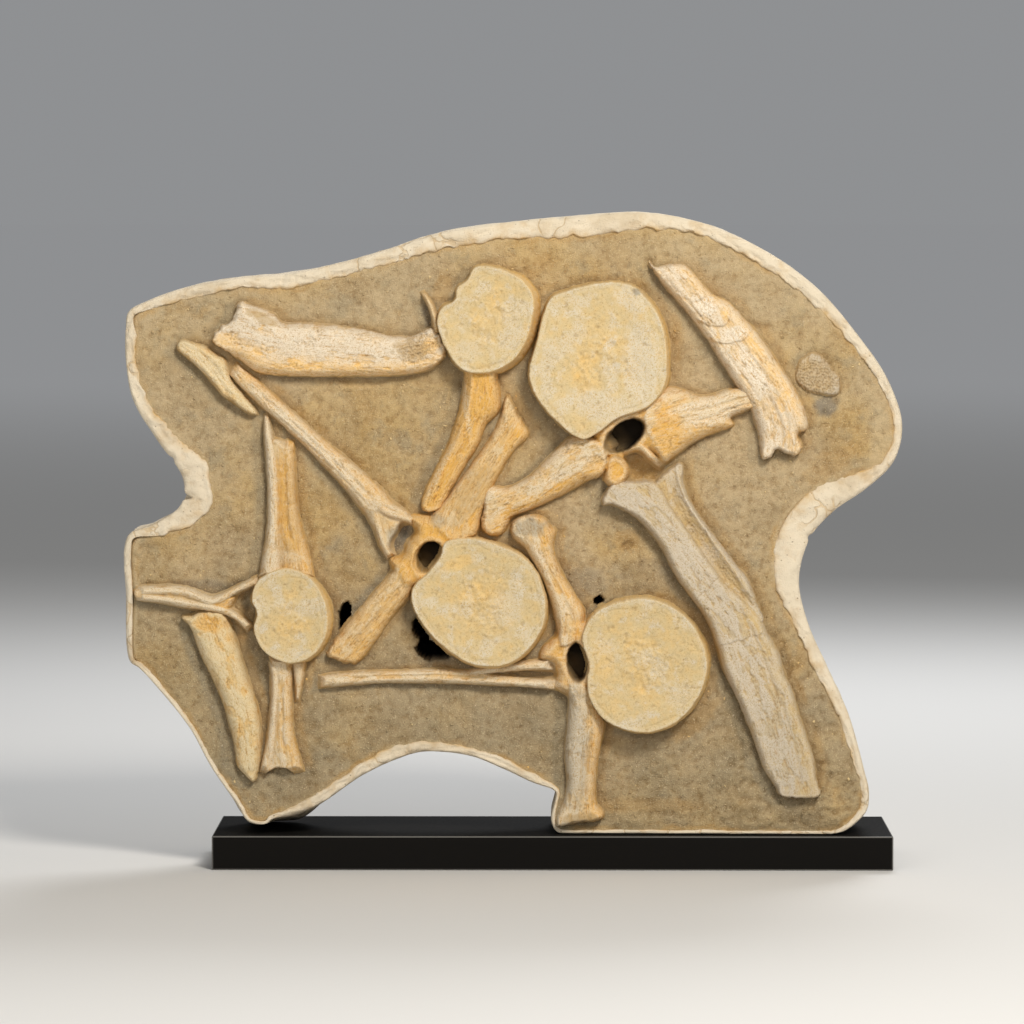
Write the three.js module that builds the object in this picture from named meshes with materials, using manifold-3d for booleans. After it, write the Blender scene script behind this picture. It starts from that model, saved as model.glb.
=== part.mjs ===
// Fossil slab on a display base. Vertebrae and ribs of a plesiosaur stand in relief on a bed of sandstone,
// which a plaster jacket holds from behind and around its edge. The slab stands on two feet on a flat base.
// Millimetres, +Z up, +X to the right of the show face, which looks towards -Y.
// A place on the show face is [x, height above the slab's feet].

import * as THREE from 'three';
import { mergeVertices } from 'three/addons/utils/BufferGeometryUtils.js';
import Module from 'manifold-3d';

const wasm = await Module();
wasm.setup();

// Gap kept where two pieces touch
const CLEARANCE = 0.3;

// Display base
const BASE_WIDTH = 478;
const BASE_DEPTH = 130;
const BASE_HEIGHT = 24;
const BASE_EDGE = 0.8;

// Slab: the show face stands a little behind the front edge of the base
const FACE_Y = -BASE_DEPTH / 2 + 12;
const SLAB_DEPTH = 80;
const FEET_Z = BASE_HEIGHT + CLEARANCE;
const JACKET_BACK_WALL = 14;
const JACKET_LIP = 2;
const JACKET_ROUNDING = 20;
const JACKET_BACK_Y = FACE_Y + SLAB_DEPTH;
const BED_BACK_Y = JACKET_BACK_Y - JACKET_BACK_WALL;
const BED_BACK_TAPER = 8;
const BED_CELLS_ACROSS = 20;
const BED_CELLS_UP = 15;

// Bones reach this far under the bed's face before they are trimmed to it
const BONE_ROOT = 6;
const BONE_SIDE_STEPS = 6;
const STATION_STEPS = 3;

// Outer edge of the jacket, clockwise from the top left corner: [x, height, width of the plaster rim]
const JACKET_EDGE = [
  [-297, 367, 8], [-282, 375.5, 7], [-254, 385, 9], [-219, 391, 7.5], [-188, 393.5, 11], [-163, 398, 9.5],
  [-121, 409, 10.5], [-79, 422.5, 12], [-28, 430, 12.5], [16, 434, 15], [64, 436.5, 12], [104, 429.5, 9],
  [131, 419, 10], [159, 403.5, 10.5], [187, 382, 10.5], [215, 349, 8], [234, 321, 7], [245, 288, 6],
  [239, 262, 7.5], [219, 242.5, 13], [198, 228, 21], [181, 209, 24], [173, 179.5, 17.5], [179, 150, 10],
  [193, 118, 9], [208, 84.5, 8], [219, 45.5, 6], [222.5, 29.5, 5.5], [220.5, 16, 5.5], [206, 2.5, 4],
  [196, 0, 3], [105, 0, 3], [15, 0, 3], [3, 1.5, 3], [-1, 10, 3], [2.5, 28.5, 3],
  [0.5, 31, 4], [-14.5, 36.5, 6], [-37, 47, 7], [-58, 55, 6], [-90, 58, 7.5], [-109, 53, 9.5],
  [-135, 40.5, 7.5], [-162, 22, 8], [-182, 13.5, 6], [-196.5, 10.5, 3], [-201.5, 7, 3], [-213.5, 8.5, 3],
  [-222.5, 22, 3.5], [-239.5, 46, 3.5], [-255.5, 75, 3.5], [-276, 101, 4], [-290, 116.5, 4.5], [-297, 122, 6],
  [-299.5, 165, 8], [-298, 210, 8.5], [-282, 217, 8.5], [-263, 229, 16], [-258.5, 238, 20], [-260, 252, 18],
  [-277, 277, 12.5], [-294, 305.5, 9], [-299, 333.5, 8], [-299, 354, 8],
];
const EDGE_STEPS = 2;

// The left foot hangs clear of the base at the front and settles onto it at the back of the slab
const LEFT_FOOT = { inner_x: -150, heel_x: -185, flat_below: 11, free_above: 45 };

// Pits in the bed: [x, height, half length, half width, turn in degrees]
const PITS = [
  [-146, 153, 11, 4.2, 80],
  [-93, 145, 7.5, 5, 135],
  [-88, 130, 8.5, 7.5, 0],
  [-79, 127, 7, 5, 160],
  [32.5, 164.5, 3.2, 3.2, 0],
];
const PIT_DEPTH = 45;

// Vertebral bodies: the edge of each one on the bed, the height of its end face above the bed,
// how far that face leans over from the foot of the body, and how deep it is dished
const CENTRA = {
  vertebra_1_centrum: {
    edge: [[-33, 397], [-19, 391], [-10, 380], [-9, 365], [-14, 345], [-26, 329.5], [-44, 322.5], [-63, 326],
      [-73, 338], [-79, 351], [-81, 363], [-77, 371], [-69, 376], [-67, 384], [-60, 390], [-54, 399]],
    relief: 19, lean: [-4, 1], dish: 2,
  },
  vertebra_2_centrum: {
    edge: [[33, 388], [54, 387], [68, 376], [78, 360], [82, 337], [80, 314], [68, 300], [44, 291], [33, 283],
      [21, 278], [2, 291], [-13, 310], [-17, 326], [-12, 345], [-8, 362], [-2, 377], [11, 383]],
    relief: 22, lean: [-4, 1], dish: 3,
  },
  vertebra_3_centrum: {
    edge: [[-57, 210], [-75, 207], [-79, 197], [-87, 186], [-98, 175], [-98.5, 163], [-90, 147], [-75, 130],
      [-58, 119], [-40, 116.5], [-24, 121.5], [-8, 139], [-3, 158], [-8, 181], [-19, 196], [-37, 205]],
    relief: 20, lean: [0, 1], dish: 2.5,
  },
  vertebra_4_centrum: {
    edge: [[-188, 188.5], [-206, 180], [-211, 167], [-207.5, 156], [-209.5, 145], [-202, 129], [-184, 120],
      [-165, 126], [-155, 144], [-156, 163], [-170, 183]],
    relief: 17, lean: [-1, 1], dish: 1.5,
  },
  vertebra_5_centrum: {
    edge: [[61, 168], [82, 163], [100, 148], [110, 127], [109, 108], [99, 88], [79, 73.5], [60, 71.5],
      [38, 80], [26, 95], [23.5, 109], [25, 120], [20, 140], [30, 158]],
    relief: 20, lean: [-3, 1], dish: 2.5,
  },
};

// Neural arches: the edge of each one on the bed, its height, and the canal through it as
// [x, height, half length, half width, turn in degrees]
const ARCHES = {
  vertebra_2_arch: {
    edge: [[24, 288], [28, 264], [35, 249], [50, 246], [64, 251], [77, 260], [85, 278], [83, 300], [60, 312]],
    relief: 15, canal: [49.3, 280.4, 16, 9, 38],
  },
  vertebra_3_arch: {
    edge: [[-62, 204], [-74, 222], [-92, 226], [-106, 218], [-110, 200], [-114, 186], [-106, 173],
      [-88, 178]],
    relief: 13, canal: [-87, 194.5, 12.5, 8.4, 70],
  },
  vertebra_5_arch: {
    edge: [[30, 150], [16, 150], [2, 143], [-7, 131], [-9, 117], [-5, 103], [8, 96], [28, 95]],
    relief: 13, canal: [17.2, 121.5, 14.5, 7.5, 90],
  },
};

// Processes, spines, ribs and splinters: stations along each one as [x, height, half width, relief]
const STRUTS = {
  vertebra_1_process: [
    [-50, 322, 13, 14], [-50, 305, 14.5, 14], [-59, 284.5, 8.5, 12], [-73, 256.5, 6.5, 10],
    [-89.5, 227, 5.5, 9],
  ],
  vertebra_1_blade: [[-91, 381, 1.2, 5], [-84, 372, 2.6, 8], [-80, 357, 3.5, 9]],
  vertebra_2_left_process: [
    [26, 270, 18, 15], [-2, 249.5, 11.5, 12], [-23, 239, 10.5, 11], [-40, 227, 16, 10],
  ],
  vertebra_2_right_process: [[72, 287, 21, 16], [103, 297.5, 14, 13], [117, 301, 11, 10], [131, 307, 6, 7]],
  vertebra_3_upper_process: [
    [-74, 214, 15, 13], [-52, 249.5, 9, 11], [-40, 270.5, 8, 10], [-25.5, 294, 14, 9],
  ],
  vertebra_3_lower_process: [[-102, 181, 13, 12], [-124.5, 154.5, 10.5, 11], [-146, 126.5, 12, 9]],
  vertebra_3_spine: [
    [-223, 326.5, 5.5, 8], [-177, 284.5, 5.5, 9], [-142, 251.5, 8.5, 10], [-110, 214, 12.5, 11],
  ],
  vertebra_4_upper_process: [
    [-199, 292, 2, 6], [-191.5, 277.5, 9.5, 9], [-190, 256.5, 8.5, 10], [-189.5, 235.5, 8.5, 10],
    [-186.5, 211, 11, 12], [-184, 184, 17.5, 14],
  ],
  vertebra_4_lower_process: [
    [-190, 122, 7, 11], [-190.5, 94.5, 6, 9], [-191, 70, 7.5, 9], [-191.5, 55, 11, 9], [-191.5, 43, 13, 8],
  ],
  vertebra_4_splinter: [[-178.5, 122, 3.5, 8], [-178.5, 106, 2.6, 6], [-178.8, 94, 0.9, 3]],
  vertebra_5_upper_process: [
    [-17, 222, 11, 12], [-9, 200.5, 12, 13], [-2, 186.5, 9, 12], [5, 172.5, 9.5, 12], [12, 148, 12, 13],
  ],
  vertebra_5_lower_process: [[21, 94, 10, 13], [21, 63, 11.5, 12], [20, 38.5, 9.8, 12], [19.5, 8.5, 15, 11]],
  vertebra_5_spine: [
    [-163.5, 108, 4, 6], [-121, 111, 4.2, 7], [-79, 111.5, 5, 8], [-37, 111.5, 5.6, 9], [-4, 111, 6.6, 10],
  ],
  rib_1: [
    [-235, 348, 5, 7], [-219, 351, 17, 12], [-198, 345, 21.5, 14], [-177, 340.5, 17.5, 14],
    [-142, 338, 16.5, 14], [-107, 335.5, 13, 13], [-84, 342, 14.5, 12], [-76, 345, 9, 10],
  ],
  rib_2: [
    [78, 401, 13, 12], [107.5, 368, 13.5, 13], [131, 335.5, 14.5, 14], [148, 312.5, 16, 14],
    [159, 285.5, 16.8, 13], [160.5, 266.5, 13.5, 11],
  ],
  rib_3: [
    [54, 242, 19, 12], [70, 230.5, 22.5, 14], [101, 194, 20, 15], [128, 153, 19.5, 15],
    [146.5, 105, 19.3, 14], [157.5, 77.5, 19, 13], [164.5, 55, 17.5, 12], [173.5, 27.5, 14, 11],
  ],
  rib_4: [
    [-242, 153, 14.5, 9], [-232, 126.5, 13.5, 12], [-225, 105.5, 12.7, 12], [-217, 84, 11, 11],
    [-214.5, 63, 9.2, 10], [-210, 38, 2, 4],
  ],
  splint: [[-259.5, 344, 3, 5], [-238.5, 326.5, 7, 7], [-207.5, 293.5, 1.5, 4]],
};

// Neural spine of the fourth vertebra: a stem that forks into two arms towards the arch
const FORKED_SPINE = {
  stem: [[-288, 168.5, 3.5, 7], [-261.5, 167, 5.6, 8], [-233, 162, 4.6, 9]],
  upper_arm: [[-240, 163.5, 4.2, 8.5], [-226, 168, 4, 9], [-207, 179, 4.8, 10]],
  lower_arm: [[-240, 163.5, 4.2, 8.5], [-226, 155, 4, 9], [-208, 144, 4.8, 10]],
};

// Wedge that splits the broken end of the fourth vertebra's lower process: tip, then the two mouth corners
const SPLIT_END = [[-191.5, 51], [-197, 38], [-186, 38]];

// Scrap of spongy bone beside the second rib: [x, height, half length, half width, relief]
const SPONGY_SCRAP = [184, 323, 16, 13, 5];

// Finishes seen on the real thing: colour and roughness
const FINISHES = {
  base: ['#1c1b19', 0.35],
  plaster: ['#e2d1b4', 0.9],
  sandstone: ['#b29870', 0.95],
  end_face: ['#e0c58f', 0.75],
  cream_bone: ['#e2cfae', 0.7],
  gold_bone: ['#dfb266', 0.7],
  rib_bone: ['#e3d0ad', 0.75],
};

// Height of the bed's face: low swells left by the preparation of the slab
function bedFace(x, height) {
  const broad = 1.6 * Math.sin(x / 61 + 0.8) * Math.cos(height / 74 - 0.4);
  const small = 0.8 * Math.sin(x / 27 - height / 33);
  return FACE_Y + broad + small;
}

// Closed smooth line through the places, with any third value carried along in z
function closedLine(places, stepsEach) {
  const knots = places.map(([x, height, extra = 0]) => new THREE.Vector3(x, height, extra));
  const line = new THREE.CatmullRomCurve3(knots, true, 'centripetal');
  return line.getPoints(places.length * stepsEach).slice(0, -1);
}

// The closed clockwise line moved inwards, but never as far as the middle of a narrow place
function inset(line, distanceAt) {
  const share = 0.6;
  return line.map((point, i) => {
    const before = line.at(i - 1);
    const after = line[(i + 1) % line.length];
    const inward = new THREE.Vector2(after.y - before.y, before.x - after.x).normalize();
    let room = Infinity;
    for (const other of line) {
      const away = new THREE.Vector2(other.x - point.x, other.y - point.y);
      const ahead = away.dot(inward);
      if (ahead > 1e-6) {
        room = Math.min(room, away.lengthSq() / (2 * ahead));
      }
    }
    const step = Math.min(distanceAt(point), share * room);
    return new THREE.Vector3(point.x + inward.x * step, point.y + inward.y * step, point.z);
  });
}

// Closed skin over rings of equal count, each end filled by the triangles that capOf gives for its ring
function skin(rings, capOf) {
  const count = rings[0].length;
  const corners = rings.flat();
  const faces = [];
  for (let r = 0; r + 1 < rings.length; r += 1) {
    for (let i = 0; i < count; i += 1) {
      const j = (i + 1) % count;
      const a = r * count;
      const b = a + count;
      faces.push(a + i, a + j, b + j, a + i, b + j, b + i);
    }
  }
  const last = (rings.length - 1) * count;
  for (const [p, q, r] of capOf(rings[0])) {
    faces.push(p, r, q);
  }
  for (const [p, q, r] of capOf(rings.at(-1))) {
    faces.push(last + p, last + q, last + r);
  }
  const geometry = new THREE.BufferGeometry().setFromPoints(corners);
  geometry.setIndex(faces);
  return solidOf(geometry);
}

// Triangles that fill a ring seen along Y, turning the way the ring turns
function flatCap(ring) {
  const contour = ring.map((point) => new THREE.Vector2(point.x, point.z));
  const turn = Math.sign(THREE.ShapeUtils.area(contour));
  return THREE.ShapeUtils.triangulateShape(contour, []).map(([p, q, r]) => {
    const sense = Math.sign(THREE.ShapeUtils.area([contour[p], contour[q], contour[r]]));
    return sense === turn ? [p, q, r] : [p, r, q];
  });
}

// Triangles that fill a ring as a fan from its first corner
function fanCap(ring) {
  return ring.slice(2).map((_, i) => [0, i + 1, i + 2]);
}

// Solid of a closed geometry, turned right side out
function solidOf(geometry) {
  geometry.deleteAttribute('normal');
  geometry.deleteAttribute('uv');
  const merged = mergeVertices(geometry, 1e-4);
  const vertProperties = new Float32Array(merged.attributes.position.array);
  const triVerts = new Uint32Array(merged.index.array);
  if (signedVolume(vertProperties, triVerts) < 0) {
    for (let i = 0; i < triVerts.length; i += 3) {
      [triVerts[i], triVerts[i + 1]] = [triVerts[i + 1], triVerts[i]];
    }
  }
  return new wasm.Manifold(new wasm.Mesh({ numProp: 3, vertProperties, triVerts }));
}

function signedVolume(positions, triangles) {
  const corner = (index) => new THREE.Vector3().fromArray(positions, 3 * index);
  let volume = 0;
  for (let i = 0; i < triangles.length; i += 3) {
    const [a, b, c] = [corner(triangles[i]), corner(triangles[i + 1]), corner(triangles[i + 2])];
    volume += a.dot(b.cross(c)) / 6;
  }
  return volume;
}

// The largest closed body of a solid
function mainBody(solid) {
  return solid.decompose().reduce((best, body) => (body.volume() > best.volume() ? body : best));
}

function geometryOf(solid) {
  const { vertProperties, triVerts } = solid.getMesh();
  const geometry = new THREE.BufferGeometry();
  geometry.setAttribute('position', new THREE.BufferAttribute(vertProperties, 3));
  geometry.setIndex(new THREE.BufferAttribute(triVerts, 1));
  geometry.computeVertexNormals();
  return geometry;
}

// Straight prism of a flat shape on the show face, from one depth to another
function prism(shape, fromY, toY, curveSegments = 10) {
  const depth = toY - fromY;
  const geometry = new THREE.ExtrudeGeometry(shape, { depth, bevelEnabled: false, curveSegments });
  geometry.rotateX(Math.PI / 2);
  geometry.translate(0, toY, FEET_Z);
  return solidOf(geometry);
}

function ellipse([x, height, halfLength, halfWidth, turnDegrees]) {
  const turn = THREE.MathUtils.degToRad(turnDegrees);
  return new THREE.Shape().absellipse(x, height, halfLength, halfWidth, 0, 2 * Math.PI, false, turn);
}

// One ring of the slab at a depth, from a line on the show face
function slabRing(line, y) {
  return line.map((point) => new THREE.Vector3(point.x, y, FEET_Z + Math.max(point.y, 0)));
}

// The left foot's underside sinks to the level of the right foot as the depth share goes from 0 to 1
function settleLeftFoot(line, depthShare) {
  return line.map((point) => {
    const near = 1 - THREE.MathUtils.smoothstep(point.x, LEFT_FOOT.heel_x, LEFT_FOOT.inner_x);
    const low = 1 - THREE.MathUtils.smoothstep(point.y, LEFT_FOOT.flat_below, LEFT_FOOT.free_above);
    return new THREE.Vector3(point.x, point.y * (1 - depthShare * near * low), point.z);
  });
}

const jacketEdge = closedLine(JACKET_EDGE, EDGE_STEPS);

// Space that the bed fills in the jacket, drawn in by a margin all round
function bedSpace(margin, frontY) {
  const front = inset(jacketEdge, (point) => point.z + margin);
  const back = inset(jacketEdge, (point) => point.z + margin + BED_BACK_TAPER);
  const rings = [slabRing(front, frontY), slabRing(front, FACE_Y), slabRing(back, BED_BACK_Y - margin)];
  return skin(rings, flatCap);
}

// Jacket: a tray of plaster with a rounded lip in front and a well rounded edge behind
function jacket() {
  const nearFeet = (point) => THREE.MathUtils.smoothstep(point.y, 2, 30);
  const roundings = [
    [-JACKET_LIP, 3], [0, 0.8], [6, 0], [SLAB_DEPTH - JACKET_ROUNDING, 0],
    [SLAB_DEPTH - 0.55 * JACKET_ROUNDING, 0.17 * JACKET_ROUNDING],
    [SLAB_DEPTH - 0.18 * JACKET_ROUNDING, 0.5 * JACKET_ROUNDING], [SLAB_DEPTH, JACKET_ROUNDING],
  ];
  const rings = roundings.map(([depth, rounding]) => {
    const line = inset(jacketEdge, (point) => rounding * nearFeet(point));
    return slabRing(settleLeftFoot(line, Math.max(depth, 0) / SLAB_DEPTH), FACE_Y + depth);
  });
  return skin(rings, flatCap).subtract(bedSpace(0, FACE_Y - 10));
}

// Block of stone whose front is the bed's swelling face, moved forward by a lift
function bedBlock(lift) {
  const width = 640;
  const height = 480;
  const depth = 100;
  const box = new THREE.BoxGeometry(width, depth, height, BED_CELLS_ACROSS, 1, BED_CELLS_UP);
  box.translate(0, FACE_Y + depth / 2, height / 2 - 20);
  const corners = box.attributes.position;
  for (let i = 0; i < corners.count; i += 1) {
    if (corners.getY(i) < FACE_Y + depth / 2) {
      corners.setY(i, bedFace(corners.getX(i), corners.getZ(i)) - lift);
    }
  }
  box.translate(0, 0, FEET_Z);
  return solidOf(box);
}

// Bed of sandstone with its pits
function bed() {
  let stone = bedBlock(0).intersect(bedSpace(CLEARANCE, FACE_Y - 10));
  for (const pit of PITS) {
    stone = stone.subtract(prism(ellipse(pit), FACE_Y - 20, FACE_Y + PIT_DEPTH));
  }
  return mainBody(stone);
}

// Ring of a low solid: an edge on the bed scaled about its middle, moved over and lifted off the bed
function edgeRing(line, scale, shift, lift, grow) {
  const middle = line.reduce((sum, point) => sum.add(point), new THREE.Vector3()).divideScalar(line.length);
  const faceY = bedFace(middle.x, middle.y);
  return line.map((point) => {
    const spoke = point.clone().sub(middle);
    spoke.multiplyScalar(scale * (1 + grow / spoke.length()));
    const at = spoke.add(middle);
    return new THREE.Vector3(at.x + shift[0], faceY - lift, FEET_Z + at.y + shift[1]);
  });
}

// Vertebral body: slightly waisted wall, rounded rim and dished end face
function centrum({ edge, relief, lean, dish }, grow) {
  const line = closedLine(edge, 2);
  const rings = [
    [-BONE_ROOT, 1, 0], [0.45 * relief, 0.975, 0.5], [0.84 * relief, 0.975, 0.9], [0.96 * relief, 0.945, 1],
    [relief, 0.88, 1], [relief - 0.45 * dish, 0.66, 1], [relief - dish, 0.28, 1],
  ].map(([lift, scale, leanShare]) => {
    const shift = [lean[0] * leanShare, lean[1] * leanShare];
    return edgeRing(line, scale, shift, lift + grow, grow);
  });
  return skin(rings, fanCap);
}

// Neural arch: a rounded mound round its canal
function arch({ edge, relief, canal }, grow) {
  const line = closedLine(edge, 2);
  const rings = [
    [-BONE_ROOT, 1], [0.35 * relief, 0.98], [0.75 * relief, 0.88], [0.95 * relief, 0.7], [relief, 0.45],
  ].map(([lift, scale]) => edgeRing(line, scale, [0, 0], lift + grow, grow));
  const [x, height, halfLength, halfWidth, turn] = canal;
  const opening = ellipse([x, height, halfLength - grow, halfWidth - grow, turn]);
  return skin(rings, flatCap).subtract(prism(opening, FACE_Y - 40, FACE_Y + 40, 8));
}

// Long bone on the bed: domed cross sections along a smooth line through its stations
function strut(stations, grow) {
  const line = (pairs) => new THREE.CatmullRomCurve3(pairs.map(([a, b]) => new THREE.Vector3(a, b, 0)));
  const middle = line(stations);
  const sizes = line(stations.map((station) => station.slice(2)));
  const steps = (stations.length - 1) * STATION_STEPS;
  const rings = [];
  for (let i = 0; i <= steps; i += 1) {
    const at = middle.getPoint(i / steps);
    const along = middle.getTangent(i / steps);
    const end = i === 0 ? -grow : (i === steps ? grow : 0);
    const size = sizes.getPoint(i / steps);
    rings.push(strutRing(at.addScaledVector(along, end), along, size.x + grow, size.y + grow));
  }
  return skin(rings, fanCap);
}

// Cross section of a long bone: upright sides out of the bed and a dome over them
function strutRing(at, along, half, relief) {
  const faceY = bedFace(at.x, at.y);
  const place = (across, lift) =>
    new THREE.Vector3(at.x - along.y * across, faceY - lift, FEET_Z + at.y + along.x * across);
  const ring = [place(0, -BONE_ROOT), place(0.9 * half, -BONE_ROOT)];
  for (let i = 0; i <= BONE_SIDE_STEPS; i += 1) {
    const angle = (Math.PI * i) / BONE_SIDE_STEPS;
    ring.push(place(half * Math.cos(angle), relief * Math.sin(angle) ** 0.8));
  }
  ring.push(place(-0.9 * half, -BONE_ROOT));
  return ring;
}

// Neural spine that forks towards its arch
function forkedSpine(grow) {
  const { stem, upper_arm: upperArm, lower_arm: lowerArm } = FORKED_SPINE;
  return strut(stem, grow).add(strut(upperArm, grow)).add(strut(lowerArm, grow));
}

// Scrap of spongy bone: a low rounded lump
function spongyScrap(grow) {
  const [x, height, halfLength, halfWidth, relief] = SPONGY_SCRAP;
  const corners = 14;
  const line = [];
  for (let i = 0; i < corners; i += 1) {
    const angle = (-2 * Math.PI * i) / corners;
    line.push([x + halfLength * Math.cos(angle), height + halfWidth * Math.sin(angle)]);
  }
  const rings = [[-BONE_ROOT, 1], [0.5 * relief, 0.96], [relief, 0.7]];
  const edge = closedLine(line, 1);
  return skin(rings.map(([lift, scale]) => edgeRing(edge, scale, [0, 0], lift + grow, grow)), flatCap);
}

// Base: a flat slab with a fine broken edge
function displayBase() {
  const width = BASE_WIDTH - 2 * BASE_EDGE;
  const depth = BASE_DEPTH - 2 * BASE_EDGE;
  const top = new THREE.Shape();
  top.moveTo(-width / 2, -depth / 2);
  top.lineTo(width / 2, -depth / 2);
  top.lineTo(width / 2, depth / 2);
  top.lineTo(-width / 2, depth / 2);
  const geometry = new THREE.ExtrudeGeometry(top, {
    depth: BASE_HEIGHT - 2 * BASE_EDGE, bevelThickness: BASE_EDGE, bevelSize: BASE_EDGE, bevelSegments: 1,
  });
  geometry.translate(0, 0, BASE_EDGE);
  return solidOf(geometry);
}

const group = new THREE.Group();

function place(name, solid, finish) {
  const [color, roughness] = FINISHES[finish];
  const material = new THREE.MeshStandardMaterial({ color, roughness, metalness: 0 });
  const mesh = new THREE.Mesh(geometryOf(solid), material);
  mesh.name = name;
  group.add(mesh);
}

// Bones in the order in which they give way: each one is trimmed clear of those before it
const strutOf = (name, finish) => [name, (grow) => strut(STRUTS[name], grow), finish];
const splitEnd = new THREE.Shape(SPLIT_END.map(([x, height]) => new THREE.Vector2(x, height)));
const splitWedge = prism(splitEnd, FACE_Y - 40, FACE_Y + 40);
const bones = [
  ...Object.entries(CENTRA).map(([name, sizes]) => [name, (grow) => centrum(sizes, grow), 'end_face']),
  ...Object.entries(ARCHES).map(([name, sizes]) => [name, (grow) => arch(sizes, grow), 'gold_bone']),
  strutOf('rib_2', 'rib_bone'),
  strutOf('vertebra_1_process', 'gold_bone'),
  strutOf('vertebra_1_blade', 'gold_bone'),
  strutOf('vertebra_2_left_process', 'cream_bone'),
  strutOf('vertebra_2_right_process', 'cream_bone'),
  strutOf('vertebra_3_upper_process', 'gold_bone'),
  strutOf('vertebra_3_lower_process', 'cream_bone'),
  strutOf('vertebra_3_spine', 'cream_bone'),
  strutOf('vertebra_4_upper_process', 'cream_bone'),
  ['vertebra_4_lower_process',
    (grow) => strut(STRUTS.vertebra_4_lower_process, grow).subtract(splitWedge), 'cream_bone'],
  strutOf('vertebra_4_splinter', 'cream_bone'),
  ['vertebra_4_spine', forkedSpine, 'cream_bone'],
  strutOf('vertebra_5_upper_process', 'cream_bone'),
  strutOf('vertebra_5_lower_process', 'cream_bone'),
  strutOf('vertebra_5_spine', 'cream_bone'),
  strutOf('rib_1', 'rib_bone'),
  strutOf('rib_3', 'rib_bone'),
  strutOf('rib_4', 'rib_bone'),
  strutOf('splint', 'rib_bone'),
  ['spongy_scrap', spongyScrap, 'rib_bone'],
];

place('display_base', displayBase(), 'base');
place('plaster_jacket', jacket(), 'plaster');
place('sandstone_bed', bed(), 'sandstone');

const withinRim = bedSpace(CLEARANCE, FACE_Y - 60);
let taken = bedBlock(CLEARANCE);
for (const [name, build, finish] of bones) {
  const bone = build(0).intersect(withinRim).subtract(taken);
  place(name, mainBody(bone), finish);
  taken = taken.add(build(CLEARANCE));
}

export default group;
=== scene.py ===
"""Looks of a fossil slab: plesiosaur bones in relief on sandstone, in a plaster jacket on a base.

Places on the show face are (x, height above the slab's feet) in millimetres. Relief is millimetres towards
the viewer. Meshes are in metres, in the frame's own axes: +X right, +Y into the slab, +Z up.
"""

import logging
import math
from dataclasses import dataclass, field
from enum import Enum

import bpy
import numpy as np
from bpy.types import Material, Mesh, Node, NodeSocket, NodeTree, Object
from mathutils.geometry import delaunay_2d_cdt
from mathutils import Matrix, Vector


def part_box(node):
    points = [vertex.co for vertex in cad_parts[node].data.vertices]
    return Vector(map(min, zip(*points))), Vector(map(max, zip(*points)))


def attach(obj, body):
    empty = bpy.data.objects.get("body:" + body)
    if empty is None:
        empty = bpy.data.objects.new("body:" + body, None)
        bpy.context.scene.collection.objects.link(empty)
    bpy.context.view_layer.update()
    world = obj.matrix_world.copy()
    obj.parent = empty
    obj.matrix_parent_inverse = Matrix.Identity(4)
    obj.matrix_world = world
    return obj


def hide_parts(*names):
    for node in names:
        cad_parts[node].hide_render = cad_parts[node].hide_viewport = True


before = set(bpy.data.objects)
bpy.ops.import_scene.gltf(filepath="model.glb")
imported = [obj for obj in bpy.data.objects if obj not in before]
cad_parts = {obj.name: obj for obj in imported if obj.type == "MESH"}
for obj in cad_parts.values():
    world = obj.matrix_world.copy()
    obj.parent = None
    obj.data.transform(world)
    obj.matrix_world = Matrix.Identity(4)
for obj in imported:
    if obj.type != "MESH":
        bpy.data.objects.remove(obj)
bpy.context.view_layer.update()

log = logging.getLogger("fossil_slab")

MM = 0.001
Grid = np.ndarray
Place = tuple[float, float]

BASE_LOW, BASE_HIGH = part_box("display_base")
CLEARANCE = 0.3
FEET = BASE_HIGH.z / MM + CLEARANCE
FACE = BASE_LOW.y / MM + 12.0
SLAB_DEPTH = 80.0
BED_DEPTH = 64.0
BODY = "root"

JACKET_EDGE: list[tuple[float, float, float]] = [
    (-297, 367, 8), (-282, 375.5, 7), (-254, 385, 9), (-219, 391, 7.5), (-188, 393.5, 11), (-163, 398, 9.5),
    (-121, 409, 10.5), (-79, 422.5, 12), (-28, 430, 12.5), (16, 434, 15), (64, 436.5, 12), (104, 429.5, 9),
    (131, 419, 10), (159, 403.5, 10.5), (187, 382, 10.5), (215, 349, 8), (234, 321, 7), (245, 288, 6),
    (239, 262, 7.5), (219, 242.5, 13), (198, 228, 21), (181, 209, 24), (173, 179.5, 17.5), (179, 150, 10),
    (193, 118, 9), (208, 84.5, 8), (219, 45.5, 6), (222.5, 29.5, 5.5), (220.5, 16, 5.5), (206, 2.5, 4),
    (196, 0, 3), (105, 0, 3), (15, 0, 3), (3, 1.5, 3), (-1, 10, 3), (2.5, 28.5, 3),
    (0.5, 31, 4), (-14.5, 36.5, 6), (-37, 47, 7), (-58, 55, 6), (-90, 58, 7.5), (-109, 53, 9.5),
    (-135, 40.5, 7.5), (-162, 22, 8), (-182, 13.5, 6), (-196.5, 10.5, 3), (-201.5, 7, 3), (-213.5, 8.5, 3),
    (-222.5, 22, 3.5), (-239.5, 46, 3.5), (-255.5, 75, 3.5), (-276, 101, 4), (-290, 116.5, 4.5),
    (-297, 122, 6), (-299.5, 165, 8), (-298, 210, 8.5), (-282, 217, 8.5), (-263, 229, 16), (-258.5, 238, 20),
    (-260, 252, 18), (-277, 277, 12.5), (-294, 305.5, 9), (-299, 333.5, 8), (-299, 354, 8),
]


def bed_swell(x: Grid, h: Grid) -> Grid:
    """Relief of the bed's low swells.

    Args:
        x: Places across the show face.
        h: Heights above the feet.

    Returns:
        Millimetres towards the viewer.
    """
    broad = 1.6 * np.sin(x / 61 + 0.8) * np.cos(h / 74 - 0.4)
    return -broad - 0.8 * np.sin(x / 27 - h / 33)


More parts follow.
